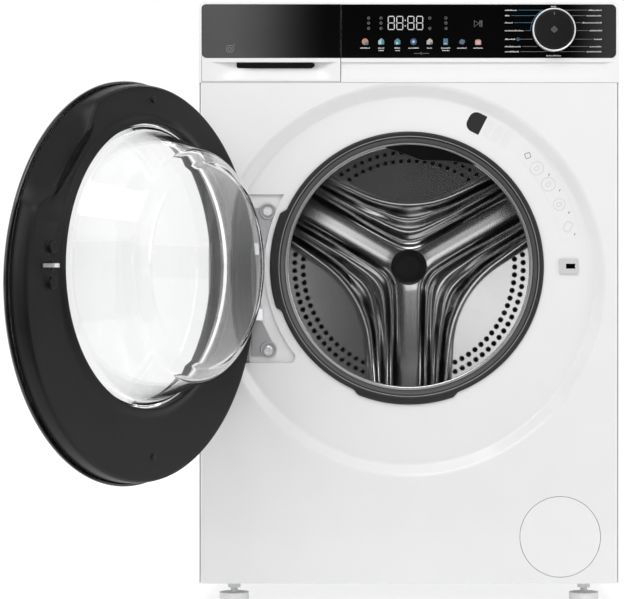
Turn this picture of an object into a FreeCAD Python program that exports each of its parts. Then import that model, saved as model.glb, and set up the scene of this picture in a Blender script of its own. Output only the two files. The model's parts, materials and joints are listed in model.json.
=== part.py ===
import FreeCAD, Part
import os
import re
import Sketcher
from math import cos, radians, sin

# Front-loading washing machine. Millimetres, +Z up, the front faces -Y.
# The origin is the centre of the four feet, on the floor. A "depth" is measured
# backwards (+Y) from the front face of the cabinet.

os.makedirs("parts", exist_ok=True)
doc = FreeCAD.newDocument("washing_machine")
V = FreeCAD.Vector
X_AXIS = V(1, 0, 0)
Z_AXIS = V(0, 0, 1)

DRIVING = {
    # cabinet
    "cabinet_width": 595, "cabinet_depth": 540, "foot_height": 25, "cabinet_top": 850,
    "steel": 1, "seam": 0.5, "panel_inset": 1.7, "flange_depth": 14, "worktop_thickness": 18,
    "foot_x": 250, "foot_y": 235, "foot_radius": 21, "stud_radius": 5,
    # front panel
    "fascia_bottom": 736, "dish_height": 455.5, "dish_radius": 277.7, "dish_floor_radius": 262,
    "dish_depth": 12, "mouth_height": 475.5, "mouth_radius": 187,
    "pocket_low": 338, "pocket_high": 578, "pocket_right": -162, "pocket_depth": 16, "shelf_left": -227,
    "land_radius": 205, "pocket_corner": 8, "lip_radius": 10, "floor_radius": 6, "edge_radius": 4,
    "filter_x": 214.3, "filter_height": 92.2, "filter_radius": 56.8,
    # door, drawn closed
    "hinge_x": -239.5, "hinge_depth": -12, "swing_radius": 37, "door_height": 452,
    "door_radius": 269.2, "liner_radius": 264.2, "cover_depth": -44, "rim_depth": -29,
    "plug_height": 459, "plug_spread": 237.5,
    "liner_depth": 2, "window_radius": 188, "bowl_depth": 100, "glass": 5.5, "door_wall": 3,
    "latch_x": 227, "latch_height": 475.8, "door_open_angle": 119,
    # control panel and drawer
    "drawer_seam": -96.6, "glass_bottom": 771, "glass_top": 846.5, "glass_side": 293.4,
    "fascia_depth": 20, "knob_x": 205.1, "knob_height": 809.9, "knob_radius": 30.6,
    "drawer_low": 748, "drawer_high": 829, "plastic": 2.5,
    # tub and drum, centred on the mouth
    "tub_radius": 266, "tub_wall": 4, "tub_front_depth": 92, "tub_split": 260, "tub_back": 474,
    "neck_radius": 180, "drum_radius": 249, "drum_sheet": 1, "drum_front": 103, "drum_back": 440,
    "drum_mouth": 175, "shaft_radius": 15, "running_gap": 0.05, "lifter_foot": 240, "lifter_crest": 193,
    "pulley_radius": 140, "pulley_depth": 506, "belt_width": 14, "belt_thickness": 3,
    "motor_x": 125, "motor_height": 160, "motor_radius": 52, "motor_pulley_radius": 20,
    "strut_x": 150, "strut_depth": 300, "spring_x": 210, "spring_depth": 390,
}

sheet = doc.addObject("Spreadsheet::Sheet", "dims")
for line, (word, size) in enumerate(DRIVING.items(), 1):
    sheet.set(f"A{line}", word)
    sheet.set(f"B{line}", str(size))
    sheet.setAlias(f"B{line}", word)
doc.recompute()

WORDS = re.compile(r"\b(" + "|".join(sorted(DRIVING, key=len, reverse=True)) + r")\b")
BACKWARDS = FreeCAD.Rotation(X_AXIS, -90)       # turns +Z to +Y
SIDEWAYS = FreeCAD.Rotation(V(0, 1, 0), 90)     # turns +Z to +X


# ---- helpers: every size below is a text in the sheet's words ----

def formula(text):
    """The text as an expression that reads the sheet."""
    return WORDS.sub(r"dims.\1", str(text))


def number(text):
    """The present value of a size text, in millimetres."""
    result = sheet.evalExpression(formula(text))
    return float(getattr(result, "Value", result))


def bind(thing, prop, text):
    thing.setExpression(prop, formula(text))


def from_front(depth):
    """A depth behind the front face as a Y coordinate."""
    return f"({depth}) - cabinet_depth / 2"


def place(thing, x, depth, z, rotation=FreeCAD.Rotation()):
    thing.Placement = FreeCAD.Placement(V(), rotation)
    bind(thing, ".Placement.Base.x", x)
    bind(thing, ".Placement.Base.y", from_front(depth))
    bind(thing, ".Placement.Base.z", z)
    return thing


def block(x, depth, z):
    """A box between (low, high) pairs of x, depth and z."""
    solid = doc.addObject("Part::Box", "block")
    for prop, (low, high) in (("Length", x), ("Width", depth), ("Height", z)):
        bind(solid, prop, f"({high}) - ({low})")
    return place(solid, x[0], depth[0], z[0])


def rod(centre, radius, span, axis="depth"):
    """A cylinder over span along an axis; centre holds the two other coordinates."""
    solid = doc.addObject("Part::Cylinder", "rod")
    bind(solid, "Radius", radius)
    bind(solid, "Height", f"({span[1]}) - ({span[0]})")
    first, second = centre
    if axis == "depth":
        return place(solid, first, span[0], second, BACKWARDS)
    if axis == "z":
        return place(solid, first, second, span[0])
    return place(solid, span[0], first, second, SIDEWAYS)


def cone(centre, radius_front, radius_back, span):
    """A cone frustum along the depth."""
    solid = doc.addObject("Part::Cone", "cone")
    bind(solid, "Radius1", radius_front)
    bind(solid, "Radius2", radius_back)
    bind(solid, "Height", f"({span[1]}) - ({span[0]})")
    return place(solid, centre[0], span[0], centre[1], BACKWARDS)


def fuse(*solids):
    joined = doc.addObject("Part::MultiFuse", "joined")
    joined.Shapes = list(solids)
    joined.Refine = True
    return joined


def group(*solids):
    """Separate solids kept side by side in one sub-part."""
    together = doc.addObject("Part::Compound", "group")
    together.Links = list(solids)
    return together


def cut(base, *tools):
    result = doc.addObject("Part::Cut", "cut")
    result.Base = base
    result.Tool = tools[0] if len(tools) == 1 else fuse(*tools)
    return result


def common(first, second):
    result = doc.addObject("Part::Common", "common")
    result.Base = first
    result.Tool = second
    return result


def tube(centre, outer, inner, span, axis="depth"):
    return cut(rod(centre, outer, span, axis), rod(centre, inner, span, axis))


def fix_point(sketch, edge, end, corner):
    """Hold one end of a sketch edge at a corner given by two size texts."""
    for kind, axis, text in (("DistanceX", -2, corner[0]), ("DistanceY", -1, corner[1])):
        if abs(number(text)) < 1e-9:
            sketch.addConstraint(Sketcher.Constraint("PointOnObject", edge, end, axis))
            continue
        index = sketch.addConstraint(
            Sketcher.Constraint(kind, -1, 1, edge, end, number(text)))
        bind(sketch, f"Constraints[{index}]", text)


def outline(sketch, corners):
    """Close a chain of straight edges through corners of size texts."""
    points = [V(number(across), number(up), 0) for across, up in corners]
    count = len(points)
    for index in range(count):
        sketch.addGeometry(Part.LineSegment(points[index], points[(index + 1) % count]))
    for index in range(count):
        following = (index + 1) % count
        sketch.addConstraint(Sketcher.Constraint("Coincident", index, 2, following, 1))
        fix_point(sketch, index, 1, corners[index])


def sketch_in(body, role):
    sketch = body.newObject("Sketcher::SketchObject", "sketch")
    plane = [item for item in body.Origin.OriginFeatures if item.Role == role]
    sketch.AttachmentSupport = (plane[0], [""])
    sketch.MapMode = "FlatFace"
    return sketch


def turned(corners, centre):
    """A body of revolution about the depth axis; corners are (radius, depth)."""
    body = doc.addObject("PartDesign::Body", "turned")
    sketch = sketch_in(body, "XZ_Plane")
    outline(sketch, corners)
    spin = body.newObject("PartDesign::Revolution", "spin")
    spin.Profile = sketch
    spin.ReferenceAxis = (sketch, ["V_Axis"])
    spin.Angle = 360
    return place(body, centre[0], 0, centre[1], BACKWARDS)


def stamped(corners, depth):
    """A plate with a front-view outline of (x, z) corners, between two depths."""
    body = doc.addObject("PartDesign::Body", "plate")
    sketch = sketch_in(body, "XZ_Plane")
    outline(sketch, corners)
    pad = body.newObject("PartDesign::Pad", "pad")
    pad.Profile = sketch
    pad.Reversed = True
    bind(pad, "Length", f"({depth[1]}) - ({depth[0]})")
    return place(body, 0, depth[0], 0)


def soften(body, radius, chosen):
    """Fillet the edges of a body that the test picks."""
    doc.recompute()
    base = body.Tip
    names = [f"Edge{n}" for n, edge in enumerate(base.Shape.Edges, 1) if chosen(edge)]
    fillet = body.newObject("PartDesign::Fillet", "soft_edges")
    fillet.Base = (base, names)
    bind(fillet, "Radius", radius)
    return body


def circle_at(radius, along):
    """A test for circular edges of a turned body by radius and depth."""
    def chosen(edge):
        curve = edge.Curve
        if not isinstance(curve, Part.Circle):
            return False
        return abs(curve.Radius - number(radius)) < 0.01 and abs(curve.Center.z - number(along)) < 0.01
    return chosen


def hose(points, bend, radius):
    """A tube that runs straight between points of (x, depth, z), with an arc at each corner."""
    spots = [V(number(x), number(from_front(depth)), number(z)) for x, depth, z in points]
    edges = []
    start = spots[0]
    for before, corner, after in zip(spots, spots[1:], spots[2:]):
        back = (before - corner).normalize()
        ahead = (after - corner).normalize()
        half = back.getAngle(ahead) / 2
        reach = bend * cos(half) / sin(half)
        arc_start = corner + back * reach
        arc_end = corner + ahead * reach
        middle = (back + ahead).normalize()
        top = corner + middle * (bend / sin(half) - bend)
        edges.append(Part.LineSegment(start, arc_start).toShape())
        edges.append(Part.Arc(arc_start, top, arc_end).toShape())
        start = arc_end
    edges.append(Part.LineSegment(start, spots[-1]).toShape())
    ring = Part.Wire(Part.Circle(spots[0], spots[1] - spots[0], number(radius)).toShape())
    solid = doc.addObject("Part::Feature", "hose")
    solid.Shape = Part.Wire(edges).makePipeShell([ring], True, False)
    return solid


parts = {}


def part(label, solid):
    solid.Label = label
    parts[label] = solid
    return solid


def turn_about(solid, centre, rotation):
    """Turn a finished solid about a point; its own placement formulas end here."""
    doc.recompute()
    for axis in "xyz":
        solid.setExpression(f".Placement.Base.{axis}", None)
    solid.Placement = FreeCAD.Placement(V(), rotation, centre).multiply(solid.Placement)
    return solid


def opened(solid):
    """Swing a door piece from closed to its open rest position."""
    centre = V(number("hinge_x"), number(from_front("hinge_depth")), 0)
    return turn_about(solid, centre, FreeCAD.Rotation(Z_AXIS, -number("door_open_angle")))


HALF = "cabinet_width / 2"
MOUTH = ("0", "mouth_height")
DISH = ("0", "dish_height")
DOOR = ("0", "door_height")


# ---- cabinet ----

def side_panel(side):
    """Side sheet with flanges folded inwards at the rear and behind the front."""
    def across(low, high):
        return (f"{side} * ({low})", f"{side} * ({high})") if side > 0 else (f"-({high})", f"-({low})")
    bottom = "foot_height + 1"
    top = "cabinet_top - worktop_thickness - seam"
    skin = block(across(f"{HALF} - steel", HALF), ("3", "cabinet_depth"), (bottom, top))
    front = block(across(f"{HALF} - 18", f"{HALF} - steel"), ("40", "40 + steel"), ("52", top))
    rear = block(across(f"{HALF} - 16", f"{HALF} - steel"),
                 ("cabinet_depth - 3", "cabinet_depth - 3 + steel"), (bottom, top))
    notch = block(across(f"{HALF} - 30", f"{HALF} + 1"), ("0", "fascia_depth + seam"),
                  ("fascia_bottom - seam", "cabinet_top"))
    return cut(fuse(skin, front, rear), notch)


part("left_side_panel", side_panel(-1))
part("right_side_panel", side_panel(1))

REAR = ("cabinet_depth - steel", "cabinet_depth")
REAR_HOLE = ("cabinet_depth - 5", "cabinet_depth + 5")
PLUGS = [(x, z) for x in ("-160", "160") for z in ("330", "620")]
INLET = ("-190", "795")
OUTLET = ("225", "150")
CORD_GLAND = ("-250", "90")
rear_sheet = block((f"-{HALF} + 1.3", f"{HALF} - 1.3"), REAR,
                   ("foot_height + 2", "cabinet_top - worktop_thickness - seam"))
rear_holes = [rod(spot, "14.3", REAR_HOLE) for spot in PLUGS]
rear_holes.append(rod(INLET, "13.5", REAR_HOLE))
rear_holes.append(rod(OUTLET, "11.3", REAR_HOLE))
rear_holes.append(rod(CORD_GLAND, "11.3", REAR_HOLE))
rear_holes.append(rod(MOUTH, "150", REAR_HOLE))
part("rear_panel", cut(rear_sheet, *rear_holes))
part("rear_service_cover", rod(MOUTH, "158", ("cabinet_depth", "cabinet_depth + steel")))
part("transit_plugs", group(*[
    fuse(rod(spot, "14", ("cabinet_depth - 3", "cabinet_depth")),
         rod(spot, "17", ("cabinet_depth", "cabinet_depth + 2"))) for spot in PLUGS]))

worktop = doc.addObject("PartDesign::Body", "worktop")
worktop_sketch = sketch_in(worktop, "XY_Plane")
outline(worktop_sketch, [
    (f"-{HALF}", from_front("fascia_depth + seam")), (HALF, from_front("fascia_depth + seam")),
    (HALF, from_front("cabinet_depth + 2")), (f"-{HALF}", from_front("cabinet_depth + 2"))])
worktop_pad = worktop.newObject("PartDesign::Pad", "pad")
worktop_pad.Profile = worktop_sketch
bind(worktop_pad, "Length", "worktop_thickness")
bind(worktop, ".Placement.Base.z", "cabinet_top - worktop_thickness")
part("top_panel", soften(worktop, "2", lambda edge: edge.BoundBox.ZMin > 1))

tray = cut(
    block((f"-{HALF} + 5", f"{HALF} - 5"), ("16", "cabinet_depth - 4"), ("foot_height", "50")),
    block((f"-{HALF} + 8", f"{HALF} - 8"), ("19", "cabinet_depth - 7"), ("foot_height + 3", "51")),
    *[rod((x, depth), "stud_radius + 0.3", ("foot_height - 1", "foot_height + 4"), "z")
      for x in ("-foot_x", "foot_x")
      for depth in ("cabinet_depth / 2 - foot_y", "cabinet_depth / 2 + foot_y")])
part("base_tray", tray)


def dish_tool(grow):
    """The round recess, with its rolled lip and soft floor corner, this far inside the front skin."""
    body = turned([
        ("0", "-5"), ("dish_radius + 20", "-5"), ("dish_radius + 20", grow), (f"dish_radius + {grow}", grow),
        (f"dish_floor_radius + {grow}", f"dish_depth + {grow}"), ("0", f"dish_depth + {grow}")], DISH)
    soften(body, f"lip_radius - {grow}", circle_at(f"dish_radius + {grow}", grow))
    return soften(body, f"floor_radius + {grow}",
                  circle_at(f"dish_floor_radius + {grow}", f"dish_depth + {grow}"))


def pocket_tool(grow):
    """The hinge pocket: a shelf for the bracket, which ends at a round land about the mouth, and a
    round well that the door's edge swings into."""
    rows = (f"pocket_low - {grow}", f"pocket_high + {grow}")
    well = common(
        rod(("hinge_x", "hinge_depth"), f"swing_radius + {grow}", rows, "z"),
        block(("hinge_x - 60", f"shelf_left + {grow}"), ("-60", "60"), rows))
    right = f"pocket_right + {grow}"
    shelf = stamped([("shelf_left", rows[0]), (right, rows[0]), (right, rows[1]), ("shelf_left", rows[1])],
                    ("-20", f"pocket_depth + {grow}"))
    soften(shelf, f"pocket_corner + {grow}",
           lambda edge: edge.BoundBox.XMin > number("shelf_left") + 1 and edge.BoundBox.YLength > 1)
    shelf = cut(shelf, rod(MOUTH, f"land_radius - {grow}", ("-25", "45")))
    return common(fuse(well, shelf), rod(DISH, f"dish_radius + 10 + {grow}", ("-40", "40")))


def panel_mass(grow):
    """The space behind the front skin: the skin is this at 0 less this at one sheet's thickness."""
    edge = f"{HALF} - panel_inset - {grow}"
    low = f"foot_height + 1 + {grow}"
    high = f"fascia_bottom - seam - {grow}"
    back = "flange_depth" if grow == "0" else "60"
    deep = "hinge_depth + swing_radius + steel" if grow == "0" else "60"
    sheet_block = stamped(
        [(f"-({edge})", low), (edge, low), (edge, high), (f"-({edge})", high)], (grow, back))
    soften(sheet_block, f"edge_radius - {grow}",
           lambda line: line.BoundBox.ZLength > 300 and line.BoundBox.YMax < 0.01)
    around_pocket = block(("hinge_x - swing_radius - 2", "pocket_right + steel"), (grow, deep),
                          ("pocket_low - steel", "pocket_high + steel"))
    return cut(fuse(sheet_block, around_pocket), fuse(dish_tool(grow), pocket_tool(grow)))


STRIKE_SLOT = (("latch_x - 6", "latch_x + 11"), ("latch_height - 6", "latch_height + 6"))
SCREWS = [("-201", "553.7"), ("-200", "354.4")]
skin = cut(
    panel_mass("0"), panel_mass("steel"),
    rod(MOUTH, "mouth_radius", ("0", "20")),
    rod(("filter_x", "filter_height"), "filter_radius + 0.7", ("-1", "5")),
    block(STRIKE_SLOT[0], ("8", "20"), STRIKE_SLOT[1]),
    *[rod(spot, "2.2", ("10", "20")) for spot in SCREWS])
collar = tube(MOUTH, "mouth_radius + steel", "mouth_radius", ("dish_depth", "dish_depth + 14"))
part("front_panel", fuse(skin, collar))

plate_face = "dish_depth - 2.5"
part("lock_strike_plate", cut(
    block(("213.8", "240.4"), (plate_face, "dish_depth"), ("465", "486.6")),
    block(("latch_x - 3.4", "latch_x + 10.9"), ("0", "20"), ("latch_height - 3.5", "latch_height + 3.5"))))
part("door_lock", cut(
    block(("205", "252"), ("dish_depth + steel", "46"), ("450", "502")),
    block(("latch_x - 8", "latch_x + 14"), ("10", "41"), ("latch_height - 9", "latch_height + 9"))))

BRACKET = ("pocket_depth - 2.5", "pocket_depth")
EARS = (("398.5", "415.5"), ("492", "509"))
bracket_plate = stamped([
    ("-191", "347"), ("-191", "360"), ("-204", "396"), ("-210", "430"), ("-210", "480"), ("-205", "512"),
    ("-193", "546"), ("-194", "559"), ("-224", "559"), ("-224", "347")], BRACKET)


def bracket_ear(rows):
    """A folded ear from the plate to the hinge axis, with its barrel."""
    arm = stamped([("-224", rows[0]), ("-213", rows[0]), ("-213", rows[1]), ("-224", rows[1])],
                  ("pocket_depth - 12", "pocket_depth"))
    lever = doc.addObject("Part::Box", "lever")
    bind(lever, "Length", "27")
    lever.Width = 3
    bind(lever, "Height", f"{rows[1]} - {rows[0]}")
    place(lever, "hinge_x + 4", "hinge_depth + 2", rows[0], FreeCAD.Rotation(Z_AXIS, 37))
    barrel = rod(("hinge_x", "hinge_depth"), "7.5", rows, "z")
    return fuse(arm, lever, barrel)


pin = rod(("hinge_x", "hinge_depth"), "4", ("396", "512"), "z")
part("hinge_bracket", cut(
    fuse(bracket_plate, *[bracket_ear(rows) for rows in EARS], pin),
    *[rod(spot, "2.2", ("0", "20")) for spot in SCREWS]))



def around_mouth(radius, turn):
    """A spot on a circle about the mouth's axis, as (x, z) texts."""
    across = round(radius * cos(radians(turn)), 2)
    up = round(radius * sin(radians(turn)), 2)
    return str(across), f"mouth_height + {up}"


COVER_SCREWS = [around_mouth(152, turn) for turn in range(30, 390, 60)]
part("cabinet_screws", group(
    *[fuse(rod(spot, "6", ("pocket_depth - 5.5", "pocket_depth - 2.5")),
           rod(spot, "2", ("pocket_depth - 2.5", "pocket_depth + 12"))) for spot in SCREWS],
    *[rod(spot, "4.5", ("cabinet_depth + steel", "cabinet_depth + steel + 2.5")) for spot in COVER_SCREWS]))

# ---- control panel and detergent drawer ----

fascia_shell = cut(
    block((f"-{HALF}", HALF), ("0", "fascia_depth"), ("fascia_bottom", "cabinet_top")),
    block((f"-{HALF} + 3.6", f"{HALF} - 3.6"), ("5", "fascia_depth + 1"),
          ("fascia_bottom + plastic", "cabinet_top - 3.2")))
part("fascia", cut(
    fascia_shell,
    block((f"-{HALF} + 3.6", "drawer_seam"), ("-1", "fascia_depth + 1"),
          ("fascia_bottom + 1", "cabinet_top - 3.2")),
    block(("drawer_seam - 1", "glass_side + 0.3"), ("-1", "2.2"),
          ("glass_bottom - 0.3", "cabinet_top - 3.2")),
    rod(("knob_x", "knob_height"), "3.4", ("-1", "6"))))
right_glass = stamped([
    ("drawer_seam + 0.6", "glass_bottom"), ("glass_side", "glass_bottom"),
    ("glass_side", "glass_top"), ("drawer_seam + 0.6", "glass_top")], ("-0.3", "2.1"))
soften(right_glass, "7", lambda edge: edge.BoundBox.XMin > 200 and edge.BoundBox.YLength > 1)
part("fascia_glass", cut(right_glass, rod(("knob_x", "knob_height"), "3.4", ("-1", "6"))))
part("control_box", cut(
    block(("-88", "276"), ("fascia_depth + seam", "60"), ("775", "drawer_high")),
    rod(("knob_x", "knob_height"), "3 + running_gap", ("fascia_depth", "31"))))

part("drawer_front", cut(
    block(("-glass_side", "drawer_seam - 0.6"), ("0", "fascia_depth"), ("fascia_bottom + 1.6", "glass_top")),
    block(("-glass_side - 1", "drawer_seam + 1"), ("-1", "2.2"), ("glass_bottom - 0.3", "cabinet_top")),
    block(("-245", "-136"), ("-1", "15"), ("757", "765"))))
left_glass = stamped([
    ("-glass_side", "glass_bottom"), ("drawer_seam - 0.6", "glass_bottom"),
    ("drawer_seam - 0.6", "glass_top"), ("-glass_side", "glass_top")], ("-0.3", "2.1"))
soften(left_glass, "7", lambda edge: edge.BoundBox.XMax < -200 and edge.BoundBox.YLength > 1)
part("drawer_glass", left_glass)

part("drawer_tray", cut(
    block(("-272", "-112"), ("fascia_depth", "300"), ("drawer_low + 5", "815")),
    block(("-269.5", "-222"), ("fascia_depth + 3", "250"), ("drawer_low + 8", "816")),
    block(("-219.5", "-168"), ("fascia_depth + 3", "296"), ("drawer_low + 8", "816")),
    block(("-165.5", "-114.5"), ("fascia_depth + 3", "296"), ("drawer_low + 8", "816"))))
housing = cut(
    block(("-278", "-106"), ("fascia_depth + 2", "330"), ("drawer_low", "drawer_high")),
    block(("-278 + plastic", "-106 - plastic"), ("fascia_depth", "330 - plastic"),
          ("drawer_low + plastic", "drawer_high - plastic")))
spout = tube(("-190", "300"), "15", "11", ("734", "drawer_low + 1"), "z")
part("dispenser_housing", fuse(housing, spout))
part("inlet_valve", fuse(
    rod(INLET, "6", ("330", "490")),
    block(("-208", "-172"), ("490", "cabinet_depth - 1.5"), ("775", "818")),
    rod(INLET, "12.5", ("cabinet_depth - 1.5", "cabinet_depth + 1")),
    rod(INLET, "13.2", ("cabinet_depth + 1", "cabinet_depth + 15"))))

knob = turned([
    ("0", "-15"), ("26", "-15"), ("knob_radius - 0.6", "-13.5"), ("knob_radius", "-11"),
    ("knob_radius", "-0.8"), ("3", "-0.8"), ("3", "28"), ("0", "28")], ("knob_x", "knob_height"))
part("programme_knob", knob)

# ---- filter, pump and the connections at the back ----

FILTER = ("filter_x", "filter_height")
part("filter_cover", rod(FILTER, "filter_radius", ("0", "2.5")))
part("filter_cap", fuse(
    rod(FILTER, "27", ("14", "20")), rod(FILTER, "23", ("20", "60")),
    block(("filter_x - 22", "filter_x + 22"), ("7.5", "14"), ("filter_height - 3", "filter_height + 3"))))
part("drain_pump", fuse(
    cut(rod(FILTER, "34", ("21", "110")), rod(FILTER, "30", ("20", "105"))),
    rod(FILTER, "30", ("110", "170"))))
part("drain_hose", fuse(
    hose([("filter_x", "80", "filter_height + 34"), ("filter_x", "80", "150"),
          ("225", "150", "150"), ("225", "cabinet_depth - 4", "150")], 18, "9"),
    rod(OUTLET, "10.5", ("cabinet_depth - 6", "cabinet_depth + 1")),
    rod(OUTLET, "11", ("cabinet_depth + 1", "cabinet_depth + 30"))))
part("mains_inlet", fuse(
    block(("-280", "-232"), ("cabinet_depth - 34", "cabinet_depth - 4"), ("70", "112")),
    rod(CORD_GLAND, "11", ("cabinet_depth - 5", "cabinet_depth + 6"))))

part("top_crossbars", group(*[
    block((f"-{HALF} + 1.3", f"{HALF} - 1.3"), (low, high), ("815", "831")) for low, high in
    (("spring_depth - 6", "spring_depth + 6"), ("470", "484"))]))

# ---- tub, which hangs in springs ----

def around_drum(solid, turn):
    """Turn a piece drawn along +X from the drum's axis to its own angle, clockwise from +X."""
    return turn_about(solid, V(0, 0, number("mouth_height")), FreeCAD.Rotation(V(0, 1, 0), turn))


hub_front = "tub_back - 12"
hub_back = "tub_back + 28"
tub_outside = fuse(
    rod(MOUTH, "tub_radius", ("tub_split", "tub_back")),
    rod(MOUTH, "tub_radius + 8", ("tub_split", "tub_split + 6")),
    block(("-65", "65"), ("280", "455"), ("185", "240")),
    rod(("-190", "300"), "15", ("655", "700"), "z"),
    *[block((f"{x} - 9", f"{x} + 9"), ("spring_depth - 8", "spring_depth + 8"), ("620", "655"))
      for x in ("-spring_x", "spring_x")],
    *[block((f"{x} - 12", f"{x} + 12"), ("strut_depth - 12", "strut_depth + 12"), ("245", "275"))
      for x in ("-strut_x", "strut_x")],
    *[block(("motor_x - 12", "motor_x + 12"), (low, high), ("motor_height + motor_radius", "255"))
      for low, high in (("345", "360"), ("440", "455"))])
tub_inside = fuse(
    rod(MOUTH, "tub_radius - tub_wall", ("tub_split - 1", "tub_back - tub_wall")),
    block(("-61", "61"), ("284", "451"), ("189", "300")),
    rod(("-190", "300"), "11", ("600", "701"), "z"))
hub = rod(MOUTH, "40", (hub_front, hub_back))
ribs = []
for turn in range(0, 360, 30):
    rib = block(("36", "tub_radius - 2"), ("tub_back", "tub_back + 12"),
                ("mouth_height - 2", "mouth_height + 2"))
    ribs.append(around_drum(rib, turn))
heater_holes = [rod((x, "203"), "4.8", ("445", "460")) for x in ("-30", "30")]
sump_spout = tube(("45", "300"), "12", "9", ("172", "187"), "z")
tub_rear = cut(
    fuse(cut(tub_outside, tub_inside), hub, *ribs), rod(MOUTH, "26.2", ("400", "600")), *heater_holes,
    rod(("45", "300"), "9", ("180", "192"), "z"))
part("tub_rear", fuse(tub_rear, sump_spout))
part("tub_front", turned([
    ("neck_radius - 3", "70"), ("neck_radius", "70"), ("neck_radius", "tub_front_depth"),
    ("tub_radius", "tub_front_depth"), ("tub_radius", "tub_split - 7"), ("tub_radius + 8", "tub_split - 7"),
    ("tub_radius + 8", "tub_split - seam"), ("tub_radius - tub_wall", "tub_split - seam"),
    ("tub_radius - tub_wall", "tub_front_depth + tub_wall"),
    ("neck_radius - 3", "tub_front_depth + tub_wall")],
    MOUTH))
part("front_counterweight", cut(
    tube(MOUTH, "258", "196", ("50", "tub_front_depth")),
    block(("-80", "80"), ("40", "100"), ("600", "760"))))
part("top_counterweight", cut(
    block(("-80", "225"), ("110", "245"), ("690", "800")),
    rod(MOUTH, "tub_radius + 0.3", ("100", "260"))))
part("heater", hose(
    [("-30", "482", "203"), ("-30", "300", "203"), ("30", "300", "203"), ("30", "482", "203")], 20, "4.5"))
part("bearings", group(*[
    tube(MOUTH, "26.2", "shaft_radius + running_gap", (low, high)) for low, high in
    (("464", "478"), ("484", "500"))]))
MOTOR = ("motor_x", "motor_height")
part("motor", cut(rod(MOTOR, "motor_radius", ("350", "470")),
                  rod(MOTOR, "7 + running_gap", ("440", "471"))))
pulley_back = "pulley_depth + belt_width + 4"
part("motor_pulley", fuse(
    rod(MOTOR, "motor_pulley_radius", ("pulley_depth", pulley_back)), rod(MOTOR, "7", ("442", pulley_back))))


def belt_loop(extra, low, high):
    """The space inside a belt that passes round both pulleys, this far outside them."""
    big = number("pulley_radius") + extra
    small = number("motor_pulley_radius") + extra
    span = V(number("motor_x"), number("motor_height") - number("mouth_height"))
    lean = FreeCAD.Vector(span)
    lean.normalize()
    side = V(-lean.y, lean.x)
    slip = (big - small) / span.Length
    level = (1 - slip * slip) ** 0.5
    normals = [lean * slip + side * level, lean * slip - side * level]

    def spot(centre, reach, normal):
        point = centre + normal * reach
        return V(point.x, 0, point.y)
    far = [spot(V(), big, normals[0]), spot(V(), big, -lean), spot(V(), big, normals[1])]
    near = [spot(span, small, normals[1]), spot(span, small, lean), spot(span, small, normals[0])]
    edges = [
        Part.Arc(*far).toShape(), Part.LineSegment(far[2], near[0]).toShape(),
        Part.Arc(*near).toShape(), Part.LineSegment(near[2], far[0]).toShape()]
    face = Part.Face(Part.Wire(edges))
    return face.extrude(V(0, number(high) - number(low), 0))


belt = doc.addObject("Part::Feature", "belt")
belt_rows = ("pulley_depth + 2", "pulley_depth + 2 + belt_width")
belt.Shape = belt_loop(0.4 + number("belt_thickness"), *belt_rows).cut(belt_loop(0.4, *belt_rows))
belt.Placement = FreeCAD.Placement(
    V(0, number(from_front(belt_rows[0])), number("mouth_height")), FreeCAD.Rotation())
part("drive_belt", belt)

part("suspension_springs", group(*[
    tube((x, "spring_depth"), "10", "7", ("656", "814"), "z") for x in ("-spring_x", "spring_x")]))
part("damper_cylinders", group(*[
    tube((x, "strut_depth"), "13", "8.3", ("foot_height + 3", "165"), "z") for x in ("-strut_x", "strut_x")]))
part("damper_rods", group(*[
    rod((x, "strut_depth"), "8", ("75", "245"), "z") for x in ("-strut_x", "strut_x")]))
part("fill_hose", tube(("-190", "300"), "19", "15.4", ("684", "742"), "z"))
part("sump_hose", hose([("45", "300", "171"), ("45", "300", "120"), ("120", "92", "120"),
                        ("178", "92", "100")], 22, "11"))
part("door_gasket", turned([
    ("191.5", "dish_depth - 3.6"), ("183", "dish_depth - 3.6"), ("176.5", "24"), ("176.5", "27"),
    ("182.8", "19"), ("182.8", "66"), ("neck_radius + 0.3", "70"), ("neck_radius + 0.3", "84"),
    ("183.8", "84"), ("183.8", "71"), ("186.4", "67"), ("186.4", "dish_depth - 0.3"),
    ("191.5", "dish_depth - 0.3")], MOUTH))

# ---- drum ----

part("drum_shell", turned([
    ("drum_mouth", "drum_front - 4"), ("drum_mouth + drum_sheet", "drum_front - 4"),
    ("drum_mouth + drum_sheet", "drum_front"), ("drum_radius", "drum_front"),
    ("drum_radius", "drum_back + 3"),
    ("drum_radius - drum_sheet", "drum_back + 3"), ("drum_radius - drum_sheet", "drum_front + drum_sheet"),
    ("drum_mouth", "drum_front + drum_sheet")], MOUTH))
part("drum_back", rod(MOUTH, "drum_radius - drum_sheet", ("drum_back", "drum_back + drum_sheet")))


LIFTER_WALL = 3


def lifter(turn):
    """A tapered hollow fin that stands on the drum's inner wall and opens towards it."""
    def fin(inset):
        wedge = doc.addObject("Part::Wedge", "fin")
        front = number(from_front("drum_front + 12")) + inset
        back = number(from_front("drum_back - 8")) - inset
        wedge.Xmin, wedge.Xmax = inset - 60, 60 - inset
        wedge.Ymin, wedge.Ymax = 0, number("lifter_foot - lifter_crest") - inset
        wedge.Zmin, wedge.Zmax = front, back
        wedge.X2min, wedge.X2max = inset - 28, 28 - inset
        wedge.Z2min, wedge.Z2max = front + 22, back - 22
        wedge.Placement = FreeCAD.Placement(
            V(number("lifter_foot"), 0, number("mouth_height")),
            FreeCAD.Rotation(V(0, 0, -1), V(-1, 0, 0), V(0, 1, 0), "ZXY"))
        return wedge
    return around_drum(cut(fin(0), fin(LIFTER_WALL)), turn)


part("drum_lifters", group(*[lifter(turn) for turn in (-76, 44, 164)]))


def spider_arm(turn):
    arm = block(("0", "236"), ("drum_back + drum_sheet", "drum_back + 18"),
                ("mouth_height - 22", "mouth_height + 22"))
    return around_drum(arm, turn)


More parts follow.
